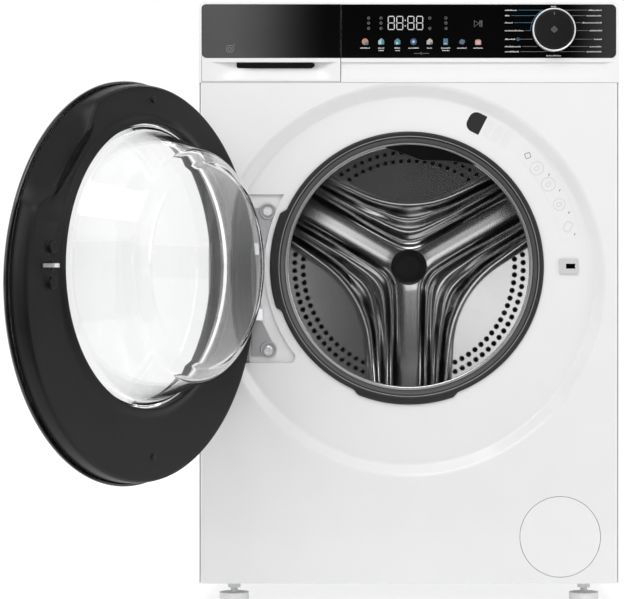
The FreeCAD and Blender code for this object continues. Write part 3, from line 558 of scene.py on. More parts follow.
def make_marks():
    draw = random.Random(7)
    for x in (-30.1, -18.0, -2.3, 10.2):
        marks["white"].append(digit(x, 810.4))
    for level in (816.2, 824.2):
        marks["white"].append(prism(disc_outline(-5.2, level, 0.95, 12), *MARK))
    for x, levels in ((-57.2, (827.3, 820.3, 812.7)), (-39.6, (827.3, 820.3, 812.7)),
                      (29.4, (827.3, 812.7)), (52.4, (827.3, 820.3, 812.7))):
        for level in levels:
            marks["grey"].append(ring(x, level, 1.7, 0.55))
            marks["grey"].append(bar(x - 0.6 + draw.uniform(-0.8, 0.8), level + draw.uniform(-0.6, 1.6), 1.5,
                                     0.6))
    play = band([(92.6, 824.0), (92.6, 815.2), (99.0, 819.6)], 0.75, *MARK, closed=True)
    marks["grey"] += [play, bar(100.2, 819.6, 0.8, 9.2), bar(102.8, 819.6, 0.8, 9.2)]

    for i, width in enumerate((14, 9, 8, 15, 7.5, 13, 13.5, 13.5)):
        x = KEY_FIRST + KEY_PITCH * i
        marks["white"].append(word(x - width / 2, 785.0, width, 1.9, draw))
        if i in (1, 2, 5):
            marks["white"].append(word(x - width * 0.4, 781.6, width * 0.8, 1.9, draw))
    marks["grey"] += [bar(6.6, 777.2, 8.6, 0.5), bar(19.4, 777.2, 9.0, 0.5),
                      band(disc_outline(17.3, 777.2, 1.5, 4), 0.6, *MARK, closed=True)]

    rows = (838.6, 830.8, 820.8, 809.6, 797.4, 787.0, 779.8)
    left_words = (17, 7, 11, 26.5, 14.5, 23, 20.5)
    right_words = (19, 21.5, 28, 17.5, 11, 17.5, 21.5)
    for row, left, right in zip(rows, left_words, right_words):
        reach = KNOB_RADIUS + (2.2 if abs(row - KNOB[1]) < KNOB_RADIUS - 6 else 0.8)
        side = max(0.0, reach ** 2 - (row - KNOB[1]) ** 2) ** 0.5
        start = 135.9 + left + 1.8
        marks["white"].append(word(135.9, row, left, 1.9, draw))
        lines = marks["blue"] if row > KNOB[1] - 2 else marks["grey"]
        lines.append(bar(start, row, KNOB[0] - side - start, 0.55))
        marks["white"].append(word(273.2, row, right, 1.9, draw, right=True))
        end = 273.2 - right - 1.6
        marks["grey"].append(bar(KNOB[0] + side, row, end - KNOB[0] - side, 0.55))
    arc = [(KNOB[0] - 32.6 * cos(radians(a)), KNOB[1] + 32.6 * sin(radians(a))) for a in range(0, 62, 4)]
    marks["blue"].append(band(arc, 0.55, *MARK))
    marks["blue"].append(ring(154.5, 797.4, 1.9, 0.8))
    marks["white"] += [word(KNOB[0] - 3.6, 844.1, 7.2, 1.7, draw), word(KNOB[0] - 10.5, 774.1, 21, 1.9, draw)]
    for colour, material in (("white", PRINT), ("grey", PRINT_GREY), ("blue", PRINT_BLUE)):
        piece(f"display_marks_{colour}", merge(*marks[colour]), material, "cabinet", "panel_glass")


def make_key_icons():
    """Eight small coloured signs in a row: plain shapes, each in its own colours."""
    level = 793.9
    peach, teal, pale = (0.72, 0.34, 0.20), (0.08, 0.36, 0.42), (0.62, 0.78, 0.80)
    cream, slate, rose, blue = (0.66, 0.62, 0.52), (0.13, 0.19, 0.26), (0.80, 0.42, 0.38), (0.06, 0.14, 0.34)
    steel = (0.10, 0.24, 0.36)
    house = [(-4.2, -4.0, 1.2), (4.2, -4.0, 1.2), (4.2, 1.6, 1.0), (0.4, 5.0, 1.6), (-4.2, 1.2, 1.0)]
    block = [(-3.6, -4.6, 0.8), (3.0, -4.6, 0.8), (3.0, 4.4, 0.8), (-3.6, 4.4, 0.8)]
    leaf = [(-5.0, -2.6, 2.2), (2.4, -4.2, 2.6), (5.0, 1.6, 2.2), (-1.4, 4.2, 2.6)]
    disc = disc_outline(0, 0, 4.6, 24)
    signs = [
        (disc, peach, turned(box_outline(-0.4, 4.8, -4.6, -0.6, 1.6), 0, (0, 0)), steel),
        (rounded(house), pale, rounded([(0.2, -4.0, 0.5), (4.2, -4.0, 1.0), (4.2, 1.6, 1.0),
                                        (0.2, 4.6, 0.5)]), teal),
        (rounded(house), teal, box_outline(-2.0, 1.4, -4.0, -0.4, 0.8), pale),
        (disc, blue, disc_outline(0, 0, 1.9, 16), pale),
        (rounded(house), cream, box_outline(0.6, 4.0, -3.9, -1.0, 0.8), slate),
        (rounded(block), steel, box_outline(-2.4, 1.8, -3.4, -2.2, 0.3), pale),
        (rounded(leaf), slate, turned(box_outline(-3.4, 3.2, -0.7, 0.7, 0.6), 30, (0, 0)), steel),
        (rounded([(-4.2, -4.6, 1.2), (4.2, -4.6, 1.2), (4.2, 3.0, 2.6), (-4.2, 3.0, 2.6)]), rose,
         box_outline(-2.6, 2.6, -3.2, 0.6, 1.0), (0.86, 0.62, 0.58)),
    ]
    for i, (body_shape, colour, detail, second) in enumerate(signs):
        x = KEY_FIRST + KEY_PITCH * i
        for part, outline, hue, lift in (("back", body_shape, colour, 0), ("front", detail, second, 0.06)):
            shape = prism([(x + a, level + b) for a, b in outline], MARK[0] - lift, MARK[1] - lift)
            # The key signs glow a little: painted light.
            material = glowing_print(f"key_{i}_{part}", [0.45 * h for h in hue], 0.30)
            piece(f"key_sign_{i}_{part}", shape, material, "cabinet", "panel_glass")


def make_drawer_mark():
    """A small outline sign at the lower left of the drawer's glass."""
    x, z = -253.6, 783.8
    sign = merge(
        band(box_outline(x - 4.6, x + 4.6, z - 4.6, z + 4.6, 2.6), 0.55, *MARK, closed=True),
        ring(x, z, 2.2, 0.5), prism(disc_outline(x + 6.2, z + 5.6, 0.8, 12), *MARK))
    # The drawer sign glows a little: painted light.
    piece("drawer_sign", sign, glowing_print("drawer_print", 0.22, 0.08), "drawer", "panel_glass")


def make_knob():
    radius, near, back = KNOB_RADIUS, KNOB_LOW.y, GLASS_LOW.y - 0.5
    body = rounded([(0.4, near + 0.5, 0), (radius - 4.2, near + 0.5, 0.6), (radius - 3.6, near + 1.0, 0.4),
                    (radius - 1.8, near + 2.4, 1.0), (radius - 1.8, back, 0), (0.4, back, 0)], closed=False,
                   steps=4)
    piece("knob_body", revolve(body, KNOB, 96, closed=False), KNOB_FACE, "knob", "knob_black",
           ["programme_knob"])
    bezel = rounded([(radius - 2.0, near + 0.6, 0.4), (radius - 0.9, near, 0.5), (radius, near + 1.1, 0.6),
                     (radius, back, 0.3), (radius - 1.9, back, 0)], steps=4)
    piece("knob_silver_ring", revolve(bezel, KNOB, 96), SCREW, "knob", "screw_steel")
    face = (near + 0.43, near + 0.55)
    pointer = prism(box_outline(KNOB[0] - 0.45, KNOB[0] + 0.45, KNOB[1] + 21, KNOB[1] + 24.4, 0.4), *face)
    diamonds = [band(turned(box_outline(KNOB[0] - a, KNOB[0] + a, KNOB[1] - a, KNOB[1] + a, 0.4), 45, KNOB),
                     0.7, *face, closed=True) for a in (3.1, 1.5)]
    # The knob's marks use a glowing print: painted light.
    piece("knob_marks", merge(pointer, *diamonds), PRINT_GREY, "knob", "knob_black")


# ---- door mouth: gasket, lock, hinge and labels ----

def smooth(path, fine=4):
    """A closed Catmull-Rom line through a path's points."""
    line = []
    count = len(path)
    for i in range(count):
        a, b, c, d = (Vector(path[(i + k) % count]) for k in (-1, 0, 1, 2))
        for k in range(fine):
            t = k / fine
            line.append(tuple((2 * b + (c - a) * t + (2 * a - 5 * b + 4 * c - d) * t * t
                               + (3 * b - a - 3 * c + d) * t ** 3) / 2))
    return line


def make_gasket():
    front, back = extent("door_gasket")[0].y, extent("door_gasket")[1].y
    profile = [
        (191.4, front + 3.2), (191.5, front + 1.4), (189.8, front + 0.1), (187.6, front),
        (185.4, front + 0.9),
        (184.0, front + 2.6), (183.6, front + 4.2), (184.6, front + 6.0), (184.8, front + 8.0),
        (184.0, front + 9.6), (182.6, front + 10.2), (182.0, front + 11.2), (182.8, front + 12.6),
        (180.6, front + 13.8), (177.6, front + 15.2), (176.5, front + 16.8),
        (177.4, front + 18.6), (180.8, front + 21.0), (182.4, front + 25.0), (182.8, front + 31.0),
        (181.2, front + 36.0), (180.4, front + 40.0), (182.6, front + 44.5), (182.8, front + 50.0),
        (180.8, front + 54.5), (180.4, front + 59.0), (180.3, back - 9.0), (180.3, back), (183.8, back),
        (183.8, back - 14.0), (186.3, back - 20.0), (186.4, front + 40.0), (186.4, front + 20.0),
        (186.5, front + 5.0), (187.6, front + 3.4)]

    def tabs(angle, radius, depth):
        turn = angle * 180 / pi
        low = window(turn, 245.5, 248.5, 288.5, 291.5)
        left = window(turn, 155.0, 157.5, 197.0, 199.5)
        share = ease(187.8, 190.5, radius) * (1 - ease(front + 4, front + 5, depth))
        return radius + share * (4.8 * low + 6.2 * left), depth

    gasket = solid("gasket_bellows", revolve(smooth(profile), (0, MOUTH), 288, warp=tabs))
    finish(gasket, RUBBER, None, "black_rubber", ["door_gasket"], crease=60)
    # A thin pale ring round the lip is a painted highlight line.
    bead = solid("gasket_bead", revolve(disc_outline(184.9, front + 1.5, 0.75, 8), (0, MOUTH), 240))
    finish(bead, RUBBER_PAINTED_HIGHLIGHT, None, "black_rubber", crease=60)
    # A mid grey ring on the fold is painted light for its lit face.
    fold = rounded([(177.2, front + 15.1, 0.4), (182.4, front + 9.9, 0.6), (183.4, front + 10.6, 0.4),
                    (178.4, front + 15.9, 0.3)], steps=3)
    fold = solid("gasket_fold", revolve(fold, (0, MOUTH), 240))
    finish(fold, RUBBER_PAINTED_LIT_BAND, None, "black_rubber", crease=60)
    for thing in (gasket, bead, fold):
        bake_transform(thing)


def make_spray_shroud():
    """A moulded shroud that hangs into the top of the mouth behind the gasket's neck."""
    turns = [57 + 44 * i / 30 for i in range(31)]
    inner = []
    for turn in turns:
        share = abs((turn - 83) / (26 if turn < 83 else 18))
        inner.append(polar(155.5 + 20.0 * share ** 1.3, turn))
    outer = [polar(176.0, turn) for turn in reversed(turns)]
    piece("gasket_spray_shroud", prism(inner + outer, 84.0, 96.5), BLACK, "tub", "black_rubber", edge=1.2)


def make_hinge_plate():
    low, high = extent("hinge_bracket")
    left, back = -224.0, high.y
    front = back - 2.5
    outline = rounded([(-189.5, low.z, 4), (-189.5, 358, 5), (-209, 398, 8), (-210.4, 430, 0),
                       (-210.4, 470, 0),
                       (-208.4, 492, 8), (-192.2, 546, 6), (-192.2, high.z, 4), (left, high.z, 1.5),
                       (left, low.z, 1.5)])
    plate = solid("hinge_plate", prism(outline, front, back))
    parts = []
    for x, z in ((-201, 553.7), (-200, 357.4)):
        boss = rounded([(6.6, front + 0.5, 0), (8.6, front - 0.2, 0.4), (9.8, front - 2.0, 0.8),
                        (11.2, front - 2.0, 0.8), (12.2, front + 0.5, 0)], steps=4)
        parts.append(revolve(boss, (x, z), 48))
    piece("hinge_bosses", merge(*parts), HINGE, "cabinet", "hinge_steel")
    finish(plate, HINGE, "cabinet", "hinge_steel", ["hinge_bracket"], edge=0.6)

    pivot_x, pivot_depth = PIVOT.x / MM, (PIVOT.y - FRONT) / MM
    for name, bottom, top in (("upper", 492.5, 509.0), ("lower", 399.0, 415.5)):
        path = [(-208.5, front - 0.2), (-208.5, 3.5), (-212, 0.4), (-219, -2.4), (-230, -7.0),
                (pivot_x, pivot_depth)]
        loops = []
        for i, (x, depth) in enumerate(path):
            before, after = path[max(0, i - 1)], path[min(len(path) - 1, i + 1)]
            side = Vector((-(after[1] - before[1]), after[0] - before[0])).normalized() * 1.6
            loops.append([at(x + side.x, depth + side.y, bottom), at(x - side.x, depth - side.y, bottom),
                          at(x - side.x, depth - side.y, top), at(x + side.x, depth + side.y, top)])
        arm = skin(loops)
        foot = prism(box_outline(-214, -206.9, bottom - 1.5, top + 1.5, 2), front - 2.4, front + 0.4)
        barrel = skin([[Vector((PIVOT.x + a, PIVOT.y + b, z * MM)) for a, b in circle(7.4 * MM, 32)]
                       for z in (bottom, top)])
        piece(f"hinge_lug_{name}", merge(arm, foot, barrel), SCREW, "cabinet", "hinge_steel", edge=0.5)
    pin = skin([[Vector((PIVOT.x + a, PIVOT.y + b, z * MM)) for a, b in circle(3.9 * MM, 24)]
                for z in (396.5, 511.5)])
    piece("hinge_pin", pin, SCREW, "cabinet", "screw_steel", edge=0.5)


def cross_screw(x, z, near, radius):
    """A pan head with a cross recess."""
    head = rounded([(0.3, near, 0), (radius * 0.62, near + 0.15, 1.0), (radius, near + 1.4, 0.8),
                    (radius, near + 2.6, 0), (0.3, near + 2.6, 0)], closed=False, steps=4)
    made = solid("screw", revolve(head, (x, z), 40, closed=False))
    wide, long = radius * 0.14, radius * 0.55
    carve(made, prism(box_outline(x - wide, x + wide, z - long, z + long), near - 1, near + 1.3),
          prism(box_outline(x - long, x + long, z - wide, z + wide), near - 1, near + 1.3))
    return made


def make_screws():
    back = extent("hinge_bracket")[1].y
    for name, x, z in (("upper", -201, 553.7), ("lower", -200, 357.4)):
        screw = cross_screw(x, z, back - 5.4, 5.6)
        screw.name = f"hinge_screw_{name}"
        finish(screw, SCREW, "cabinet", "screw_steel")


def make_strike():
    low, high = extent("lock_strike_plate")
    plate = solid("strike_plate", prism(box_outline(low.x, high.x, low.z, high.z, 1.6), low.y, high.y))
    middle = STRIKE_X + 3.75
    slot = rounded([(middle - 7.15, LATCH - 3.5, 0.8), (middle + 6.6, LATCH - 3.5, 0.8),
                    (middle + 5.2, LATCH, 0.3),
                    (middle + 6.6, LATCH + 3.5, 0.8), (middle - 7.15, LATCH + 3.5, 0.8)])
    carve(plate, prism(slot, low.y - 1, high.y + 1))
    finish(plate, GREY_LIGHT, "cabinet", "grey_plastic", ["lock_strike_plate"], edge=0.6)


def make_labels():
    """Printed labels in the door recess: a dark cap, greeked lines and a strip of plain outline signs."""
    draw = random.Random(3)
    floor = extent("lock_strike_plate")[1].y
    near, far = floor - 0.12, floor - 0.02
    tilt = -27.0
    x, z = 95.2, 680.2
    cap = rounded([(x - 12, z - 14.5, 11), (x + 11, z - 14.5, 0.6), (x + 11, z + 14.5, 0.6),
                   (x - 12, z + 14.5, 11)])
    piece("label_cap", prism(turned(cap, tilt, (x, z)), near, far), INK, "cabinet", "white_enamel")

    lines = []
    for column in range(3):
        for row in range(8):
            width = draw.uniform(8.5, 12.5)
            left, level = x + 14.5 + column * 14.5, z + 11.0 - row * 3.1 - column * 1.2
            outline = box_outline(left, left + width, level - 0.28, level + 0.28)
            lines.append(prism(turned(outline, tilt, (x, z)), near, far))
    piece("label_lines", merge(*lines), INK_PALE, "cabinet", "white_enamel")

    outer, inner = 247.0, 219.0
    edge = [polar(outer, a) for a in range(46, 8, -2)] + [polar(inner, a) for a in range(9, 47, 2)]
    piece("sign_strip_border", band(edge, 0.35, near, far, closed=True), INK_PALE, "cabinet", "white_enamel")
    rings = []
    for radius, angle, size in ((229, 37.5, 9.6), (230, 30.5, 9.8), (231, 22.4, 8.4)):
        cx, cz = polar(radius, angle)
        rings.append(ring(cx, cz, size, 0.4, (near, far)))
        rings.append(band(turned(box_outline(cx - 3.5, cx + 3.5, cz - 2.4, cz + 2.4, 1.5), angle, (cx, cz)),
                          0.4,
                          near, far, closed=True))
    cx, cz = polar(233, 14.0)
    rings.append(band(turned(box_outline(cx - 7, cx + 7, cz - 5, cz + 5, 2), 60, (cx, cz)), 0.5, near, far,
                      closed=True))
    piece("sign_rings", merge(*rings), INK_GREY, "cabinet", "white_enamel")
    dots = []
    for radius, angle in ((238, 33.2), (240, 26.8), (240, 18.6), (240, 11.0)):
        cx, cz = polar(radius, angle)
        dots.append(prism(turned(box_outline(cx - 0.5, cx + 0.5, cz - 1.7, cz + 1.7, 0.4), -30, (cx, cz)),
                          near, far))
    cx, cz = polar(231, 43.0)
    dots.append(band(turned(box_outline(cx - 3.6, cx + 3.6, cz - 3.6, cz + 3.6, 0.8), 20, (cx, cz)), 0.7,
                     near, far,
                     closed=True))
    piece("sign_dots", merge(*dots), INK, "cabinet", "white_enamel")


# ---- door ----

def make_door():
    cover, rim = -44.0, -25.0
    ring_profile = [
        (203.5, cover + 3.6, MOUTH), (203.5, cover + 0.8, MOUTH), (204.6, cover, MOUTH), (236, cover, DOOR),
        (246, cover + 1.4, DOOR), (256, cover + 5.0, DOOR), (DOOR_RADIUS - 7.0, cover + 9.0, DOOR),
        (DOOR_RADIUS - 1.6, cover + 13.6, DOOR), (DOOR_RADIUS - 0.2, cover + 16.0, DOOR),
        (DOOR_RADIUS, rim - 1.0, DOOR), (DOOR_RADIUS - 0.6, rim, DOOR), (DOOR_RADIUS - 3.2, rim, DOOR),
        (DOOR_RADIUS - 4.0, rim - 2.0, DOOR), (261, cover + 12.4, DOOR), (252, cover + 8.4, DOOR),
        (246, cover + 5.4, DOOR), (236, cover + 3.8, DOOR)]
    ring_shape = revolve(ring_profile, (0, DOOR), 256)
    piece("door_cover_ring", ring_shape, COVER, "door", "door_black", ["door_outer_ring"], on_door=True,
           crease=50)

    pane = rounded([(0, -39.7, 0), (206, -39.7, 0.6), (206, -36.7, 0.6), (0, -36.7, 0)], steps=3)
    piece("door_window_pane", revolve(pane, (0, MOUTH), 160), PANE, "door", "door_clear",
           ["door_pane"], on_door=True, crease=50)

    wall, face = DOOR_RADIUS - 5.0, 2.0
    front_side = [
        (188.2, -1.2, MOUTH), (188.2, 4.8, MOUTH), (188.9, 6.4, MOUTH), (190.4, 7.0, MOUTH),
        (192.6, 6.7, MOUTH),
        (196.6, 4.6, MOUTH), (199.0, 3.0, MOUTH), (202.0, 2.2, MOUTH), (206.0, face, MOUTH),
        (232, face, DOOR + 8),
        (254.0, face, DOOR), (wall - 4.6, face, DOOR), (wall - 3.4, face - 0.3, DOOR),
        (wall - 2.9, face - 1.3, DOOR), (wall - 2.3, face - 1.5, DOOR), (wall - 1.4, face - 2.6, DOOR),
        (wall - 0.6, face - 6.0, DOOR), (wall, face - 13.0, DOOR),
        (wall, -22.5, DOOR), (wall - 0.6, -23.6, DOOR), (wall - 2.6, -24.0, DOOR)]
    back_side = [(wall - 3.0, -22.0, DOOR), (wall - 3.4, -10.0, DOOR), (wall - 6.0, -2.4, DOOR),
                 (252.0, -1.2, DOOR),
                 (206.0, -1.2, MOUTH)]

    def grip(angle, radius, depth):
        """The finger grip draws the rim in at the upper free side, in a straight run between two bends."""
        turn = angle * 180 / pi
        share = window(turn, 20.5, 30.5, 54.5, 65.5)
        if radius < 240 or not share:
            return radius, depth
        chord = 229.5 / cos(radians(min(56.0, max(29.0, turn)) - 42.5))
        near_face = ease(-21.0, -1.0, depth) if radius > 253.5 else ease(232, 254, radius)
        return radius + share * near_face * (chord - wall + 4.6), depth

    frame_shape = solid("door_liner", revolve(front_side + back_side, (0, DOOR), 384, warp=grip))
    ears = [prism(box_outline(-285, -222, low, low + 21.5, 2), -26, 0.2) for low in (396.5, 490)]
    latch_slot = prism(box_outline(212.5, 234.5, LATCH - 6, LATCH + 6, 0.8), -8, 6)
    carve(frame_shape, latch_slot, *ears)
    finish(frame_shape, LINER, "door", "door_black", ["door_inner_frame"], on_door=True, crease=38)
    pocket = solid("latch_pocket", prism(box_outline(212.2, 234.8, LATCH - 6.3, LATCH + 6.3, 0.8), -9, -1.4))
    finish(pocket, BLACK, "door", "door_black", edge=0.4, on_door=True)

    bowl = rounded([
        (205, -7.0, 1.0), (205, -1.5, 1.0), (187.0, -1.5, 1.2), (178.5, 8, 12), (152, 82, 16), (134, 97, 14),
        (60, 100, 0), (0, 100.4, 0), (0, 94.6, 0), (60, 94.2, 0), (130.5, 91.6, 10), (147, 79, 12),
        (172.6, 6.5, 12), (180.5, -7.0, 1.0)], steps=7)
    piece("door_bowl_glass", revolve(bowl, (0, MOUTH), 224), GLASS, "door", "door_clear",
           ["door_glass"], on_door=True, crease=60)

    for name, z in (("upper", LATCH + 22.5), ("lower", LATCH - 22.5)):
        stud = rounded([(0.4, 8.0, 0), (6.2, 8.0, 1.2), (7.6, 7.0, 0.8), (8.0, 3.2, 0.5), (9.4, 2.2, 0.5),
                        (9.4, 1.4, 0),
                        (0.4, 1.4, 0)], closed=False, steps=4)
        made = solid(f"door_stop_{name}", revolve(stud, (215, z), 40, closed=False))
        finish(made, BLACK, "door", "black_rubber", ["door_buffers"] if name == "upper" else (), on_door=True)
    for name, z in (("upper", PLUG_MIDDLE + PLUG_SPREAD), ("lower", PLUG_MIDDLE - PLUG_SPREAD)):
        plug = rounded([(0.4, 4.2, 0), (3.4, 4.2, 1.0), (4.6, 3.0, 0.6), (5.2, 1.6, 0), (0.4, 1.6, 0)],
                       closed=False, steps=4)
        made = solid(f"door_plug_{name}", revolve(plug, (-8, z), 32, closed=False))
        finish(made, BLACK, "door", "black_plastic", ["door_plugs"] if name == "upper" else (), on_door=True)


def make_latch():
    """The hooked tongue that the lock holds, with its eye."""
    outline = [(x, depth, 0.8) for x, depth in (
        (223.9, 1.0), (223.9, 23.0), (226.0, 24.0), (233.9, 24.0), (233.9, 21.2), (229.4, 17.6),
        (229.4, 1.0))]
    path = rounded(outline, steps=3)
    loops = [[at(x, depth, z) for x, depth in path] for z in (LATCH - 2.5, LATCH + 2.5)]
    hook = solid("latch_tongue", skin(loops))
    eye = [[at(x, depth, z) for x, depth in disc_outline(STRIKE_X, 14, 1.3,
                                                         16)] for z in (LATCH - 4, LATCH + 4)]
    carve(hook, skin(eye))
    finish(hook, SCREW, "latch", "screw_steel", ["latch_hook"], edge=0.35, on_door=True)


# ---- drum ----

ARMS = (270.0, 150.0, 30.0)
ARM_BENDS = ((27.0, 6.4, 5.2), (52.0, 8.6, 5.4))
SECTOR_SLOPE = 0.10


def arm_height(distance):
    """Height of the pressed star at a distance from the middle of an arm: a raised bed with two bends."""
    bed = 2.2 + 2.6 * ease(4, 40, distance)
    bends = sum(tall * exp(-((distance - middle) / wide) ** 2) for middle, wide, tall in ARM_BENDS)
    return bed * (1 - ease(48, 72, distance)) + bends


def star_height(radius, angle):
    """The pressed star of three arms: two nested bends round each sector, which itself leans inwards."""
    apart = sorted(abs((angle - arm + 180) % 360 - 180) for arm in ARMS)
    near, next_one = (radius * sin(radians(min(a, 90.0))) if a < 90 else radius for a in apart[:2])
    blunt = min(75.0, 0.78 * radius) + 0.1
    share = max(0.0, 1 - (next_one - near) / blunt)
    distance = near - blunt * share ** 2 / 4
    distance *= 1 + 0.00125 * max(0.0, radius - 90) * ease(28, 50, near)
    height = arm_height(distance) * ease(14.0, 40.0, radius) + 1.6 * (1 - ease(14.0, 40.0, radius))
    along = radius * cos(radians(60 - min(apart[0], 60.0)))
    height += SECTOR_SLOPE * max(0.0, along - 72) * ease(52, 76, distance)
    return height * (1 - ease(206, 228, radius))


def make_drum():
    low, high = extent("drum_shell")
    radius, near, far = (high.x - low.x) / 2, low.y, high.y
    shell = rounded([
        (175.2, near + 3.0, 0.8), (175.6, near, 1.6), (178.6, near, 1.6), (180.0, near + 5.5, 2.0),
        (214, near + 6.2, 8), (240, near + 9, 9), (radius, near + 20, 12), (radius, far - 3, 1.0),
        (radius - 1.1, far - 3, 0.2),
        (radius - 1.1, near + 21, 11), (239, near + 10.4, 8), (214, near + 7.4, 8), (178.6, near + 6.6, 1.2),
        (176.0, near + 5.0, 0.5)], steps=5)
    piece("drum_wall", revolve(shell, (0, MOUTH), 240), STEEL, "drum", "stainless", ["drum_shell"], crease=45)

    steps_round, rows = 540, [2 + 1.25 * i for i in range(197)]
    loops = []
    for row in rows:
        loop = []
        for i in range(steps_round):
            angle = 360 * i / steps_round
            height = star_height(row, angle)
            loop.append(at(row * cos(radians(angle)), DRUM_BACK - height, MOUTH + row * sin(radians(angle))))
        loops.append(loop)
    rim = rows[-1]
    loops.append([at(x, DRUM_BACK + 1.0, MOUTH + z) for x, z in circle(rim, steps_round)])
    piece("drum_back_star", skin(loops), STEEL, "drum", "stainless", ["drum_back"], crease=80)

    hub = rounded([(0.4, DRUM_BACK - 5.4, 0), (17, DRUM_BACK - 5.2, 3), (25, DRUM_BACK - 4.0, 3),
                   (29.0, DRUM_BACK - 2.4, 1), (29.0, DRUM_BACK - 0.6, 0), (0.4, DRUM_BACK - 0.6, 0)],
                  closed=False, steps=4)
    piece("drum_hub_cap", revolve(hub, (0, MOUTH), 72, closed=False), HUB, "drum", "lifter_grey")
    make_perforations()
    make_lifters()


def make_perforations():
    """Rows of small drain holes in the sectors between the arms, each with a pressed rim and a dark plug
    inside it: painted shade.
    """
    rims, shade_plugs = [], []
    for row, pitch in ((168.5, 4.28), (182.0, 4.02), (195.5, 3.78), (208.5, 3.54), (221.0, 3.34)):
        count = int((35.4 + (row - 168) * 0.28) / pitch)
        for arm in ARMS:
            for k in range(-count, count + 1):
                angle = arm + 60 + k * pitch
                floor = DRUM_BACK - star_height(row, angle)
                x, z = polar(row, angle)
                rims.append(revolve([(2.4, floor + 0.4), (2.5, floor - 1.1), (3.1, floor - 1.7),
                                     (4.0, floor - 1.0), (4.6, floor + 0.5)], (x, z), 18))
                # Each hole is filled with a dark plug: painted shade.
                shade_plugs.append(prism(disc_outline(x, z, 2.65, 14), floor - 0.62, floor + 0.4))
    piece("drum_hole_rims", merge(*rims), STEEL, "drum", "stainless", crease=60)
    piece("drum_hole_shade_plugs", merge(*shade_plugs), HOLE_PAINTED_SHADE, "drum", "stainless")


def make_lifters():
    """Three hollow paddles: a wide foot on the drum wall, a rounded crest, and a row of drip holes drawn as
    dark plugs: painted shade.
    """
    low, high = extent("drum_lifters")
    near, far = low.y, high.y
    foot, crest = 240.0, 193.2
    shapes, holes = [], []
    for turn in (76.0, -44.0, -164.0):
        out = Vector((cos(radians(turn)), 0, sin(radians(turn))))
        side = Vector((-out.z, 0, out.x))
        loops = []
        for s in steps(0, 1, 28):
            depth = near + (far - near) * s
            ends = window(s, -0.001, 0.12, 0.90, 1.001)
            tall = 0.10 + 0.90 * ends
            wide = 0.72 + 0.28 * ends
            height = foot - (foot - crest) * tall
            section = rounded([(-60 * wide, foot + 0.4, 0), (-55 * wide, foot - 8 * tall, 6 * tall),
                               (-32 * wide, height + 12 * tall, 12), (-27 * wide, height, 9 * wide),
                               (27 * wide, height, 9 * wide), (32 * wide, height + 12 * tall, 12),
                               (55 * wide, foot - 8 * tall, 6 * tall), (60 * wide, foot + 0.4, 0)], steps=4)
            loops.append([at(0, depth, MOUTH) + (side * a + out * b) * MM for a, b in section])
        shapes.append(skin(loops))
        for k in range(5):
            depth = near + 60 + 48 * k
            for lean in (-1, 1):
                middle = at(0, depth, MOUTH) + (side * 43.0 * lean + out * 216) * MM
                normal = (side * lean * 1.5 - out).normalized()
                across = normal.cross(Vector((0, 1, 0))).normalized()
                # Each drip hole is a dark plug: painted shade.
                holes.append(skin([
                    [middle + normal * lift * MM + (Vector((0, 1, 0)) * a + across * b) * 3.6 * MM
                     for a, b in circle(1.0, 16)] for lift in (-1.5, 1.1)]))
    piece("drum_paddles", merge(*shapes), LIFTER, "drum", "lifter_grey", ["drum_lifters"], crease=40)
    piece("paddle_holes", merge(*holes), HOLE_PAINTED_SHADE, "drum", "lifter_grey")


# ---- hanging parts that stretch with the tub ----

def make_springs():
    low, high = extent("suspension_springs")
    middle_depth = (low.y + high.y) / 2
    for name, side in (("left", -1), ("right", 1)):
        x = side * (high.x - 13)
        turns, wire = 15, 2.2
        path = [at(x, middle_depth, high.z - 2), at(x, middle_depth, high.z - 12)]
        span = (high.z - 20) - (low.z + 20)
        count = turns * 18
        for i in range(count + 1):
            angle = 2 * pi * i / 18
            reach = 10.0 * window(i / count, -0.001, 0.04, 0.96, 1.001)
            level = high.z - 20 - span * i / count
            path.append(at(x + reach * cos(angle), middle_depth + reach * sin(angle), level))
        path += [at(x, middle_depth, low.z + 12), at(x, middle_depth, low.z + 2)]
        spring = solid(f"tub_spring_{name}", tube(path, wire, 10))
        finish(spring, MACHINED, None, "machined_steel", ["suspension_springs"] if side < 0 else (),
               crease=60)
        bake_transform(spring)


def make_tub_hoses():
    """The two short hoses between casing and tub, which give way when the tub moves."""
    for node, start, end in (("fill_hose", (-190, 300, 738), (-190, 300, 688)),
                             ("sump_hose", (45, 300, 124), (45, 300, 168))):
        mesh = NODES[node].data.copy()
        mesh.transform(NODES[node].matrix_world)
        sleeve = placed(f"{node}_sleeve", mesh)
        finish(sleeve, RUBBER, None, "black_rubber", [node])
        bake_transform(sleeve)


# ---- carried-over CAD nodes: a material each, and softened edges where sheet or moulding ends ----

CARRIED = (
    (WHITE, "front_panel left_side_panel right_side_panel"), (LAMINATE, "top_panel"),
    (ZINC, "rear_panel rear_service_cover top_crossbars base_tray"),
    (PLASTIC, "filter_cover drawer_tray dispenser_housing"),
    (GREY, "tub_rear tub_front control_box inlet_valve mains_inlet transit_plugs"),
    (SCREW, "cabinet_screws"), (HINGE, "door_hinge_arm"),
    (BLACK, "door_lock drain_pump filter_cap damper_cylinders"), (RUBBER, "drain_hose drive_belt"),
    (ALLOY, "drum_spider drum_pulley"), (MACHINED, "drum_shaft bearings heater motor_pulley damper_rods"),
    (IRON, "motor"), (CONCRETE, "front_counterweight top_counterweight"),
    (FOOT, "foot_front_left foot_front_right foot_rear_left foot_rear_right"))
SOFT_EDGES = {"top_panel": 5.0, "filter_cover": 0.6, "drawer_tray": 0.8, "left_side_panel": 0.35,
              "right_side_panel": 0.35, "front_counterweight": 5.0, "top_counterweight": 5.0,
              "inlet_valve": 0.5, "mains_inlet": 1.5, "motor": 2.0}


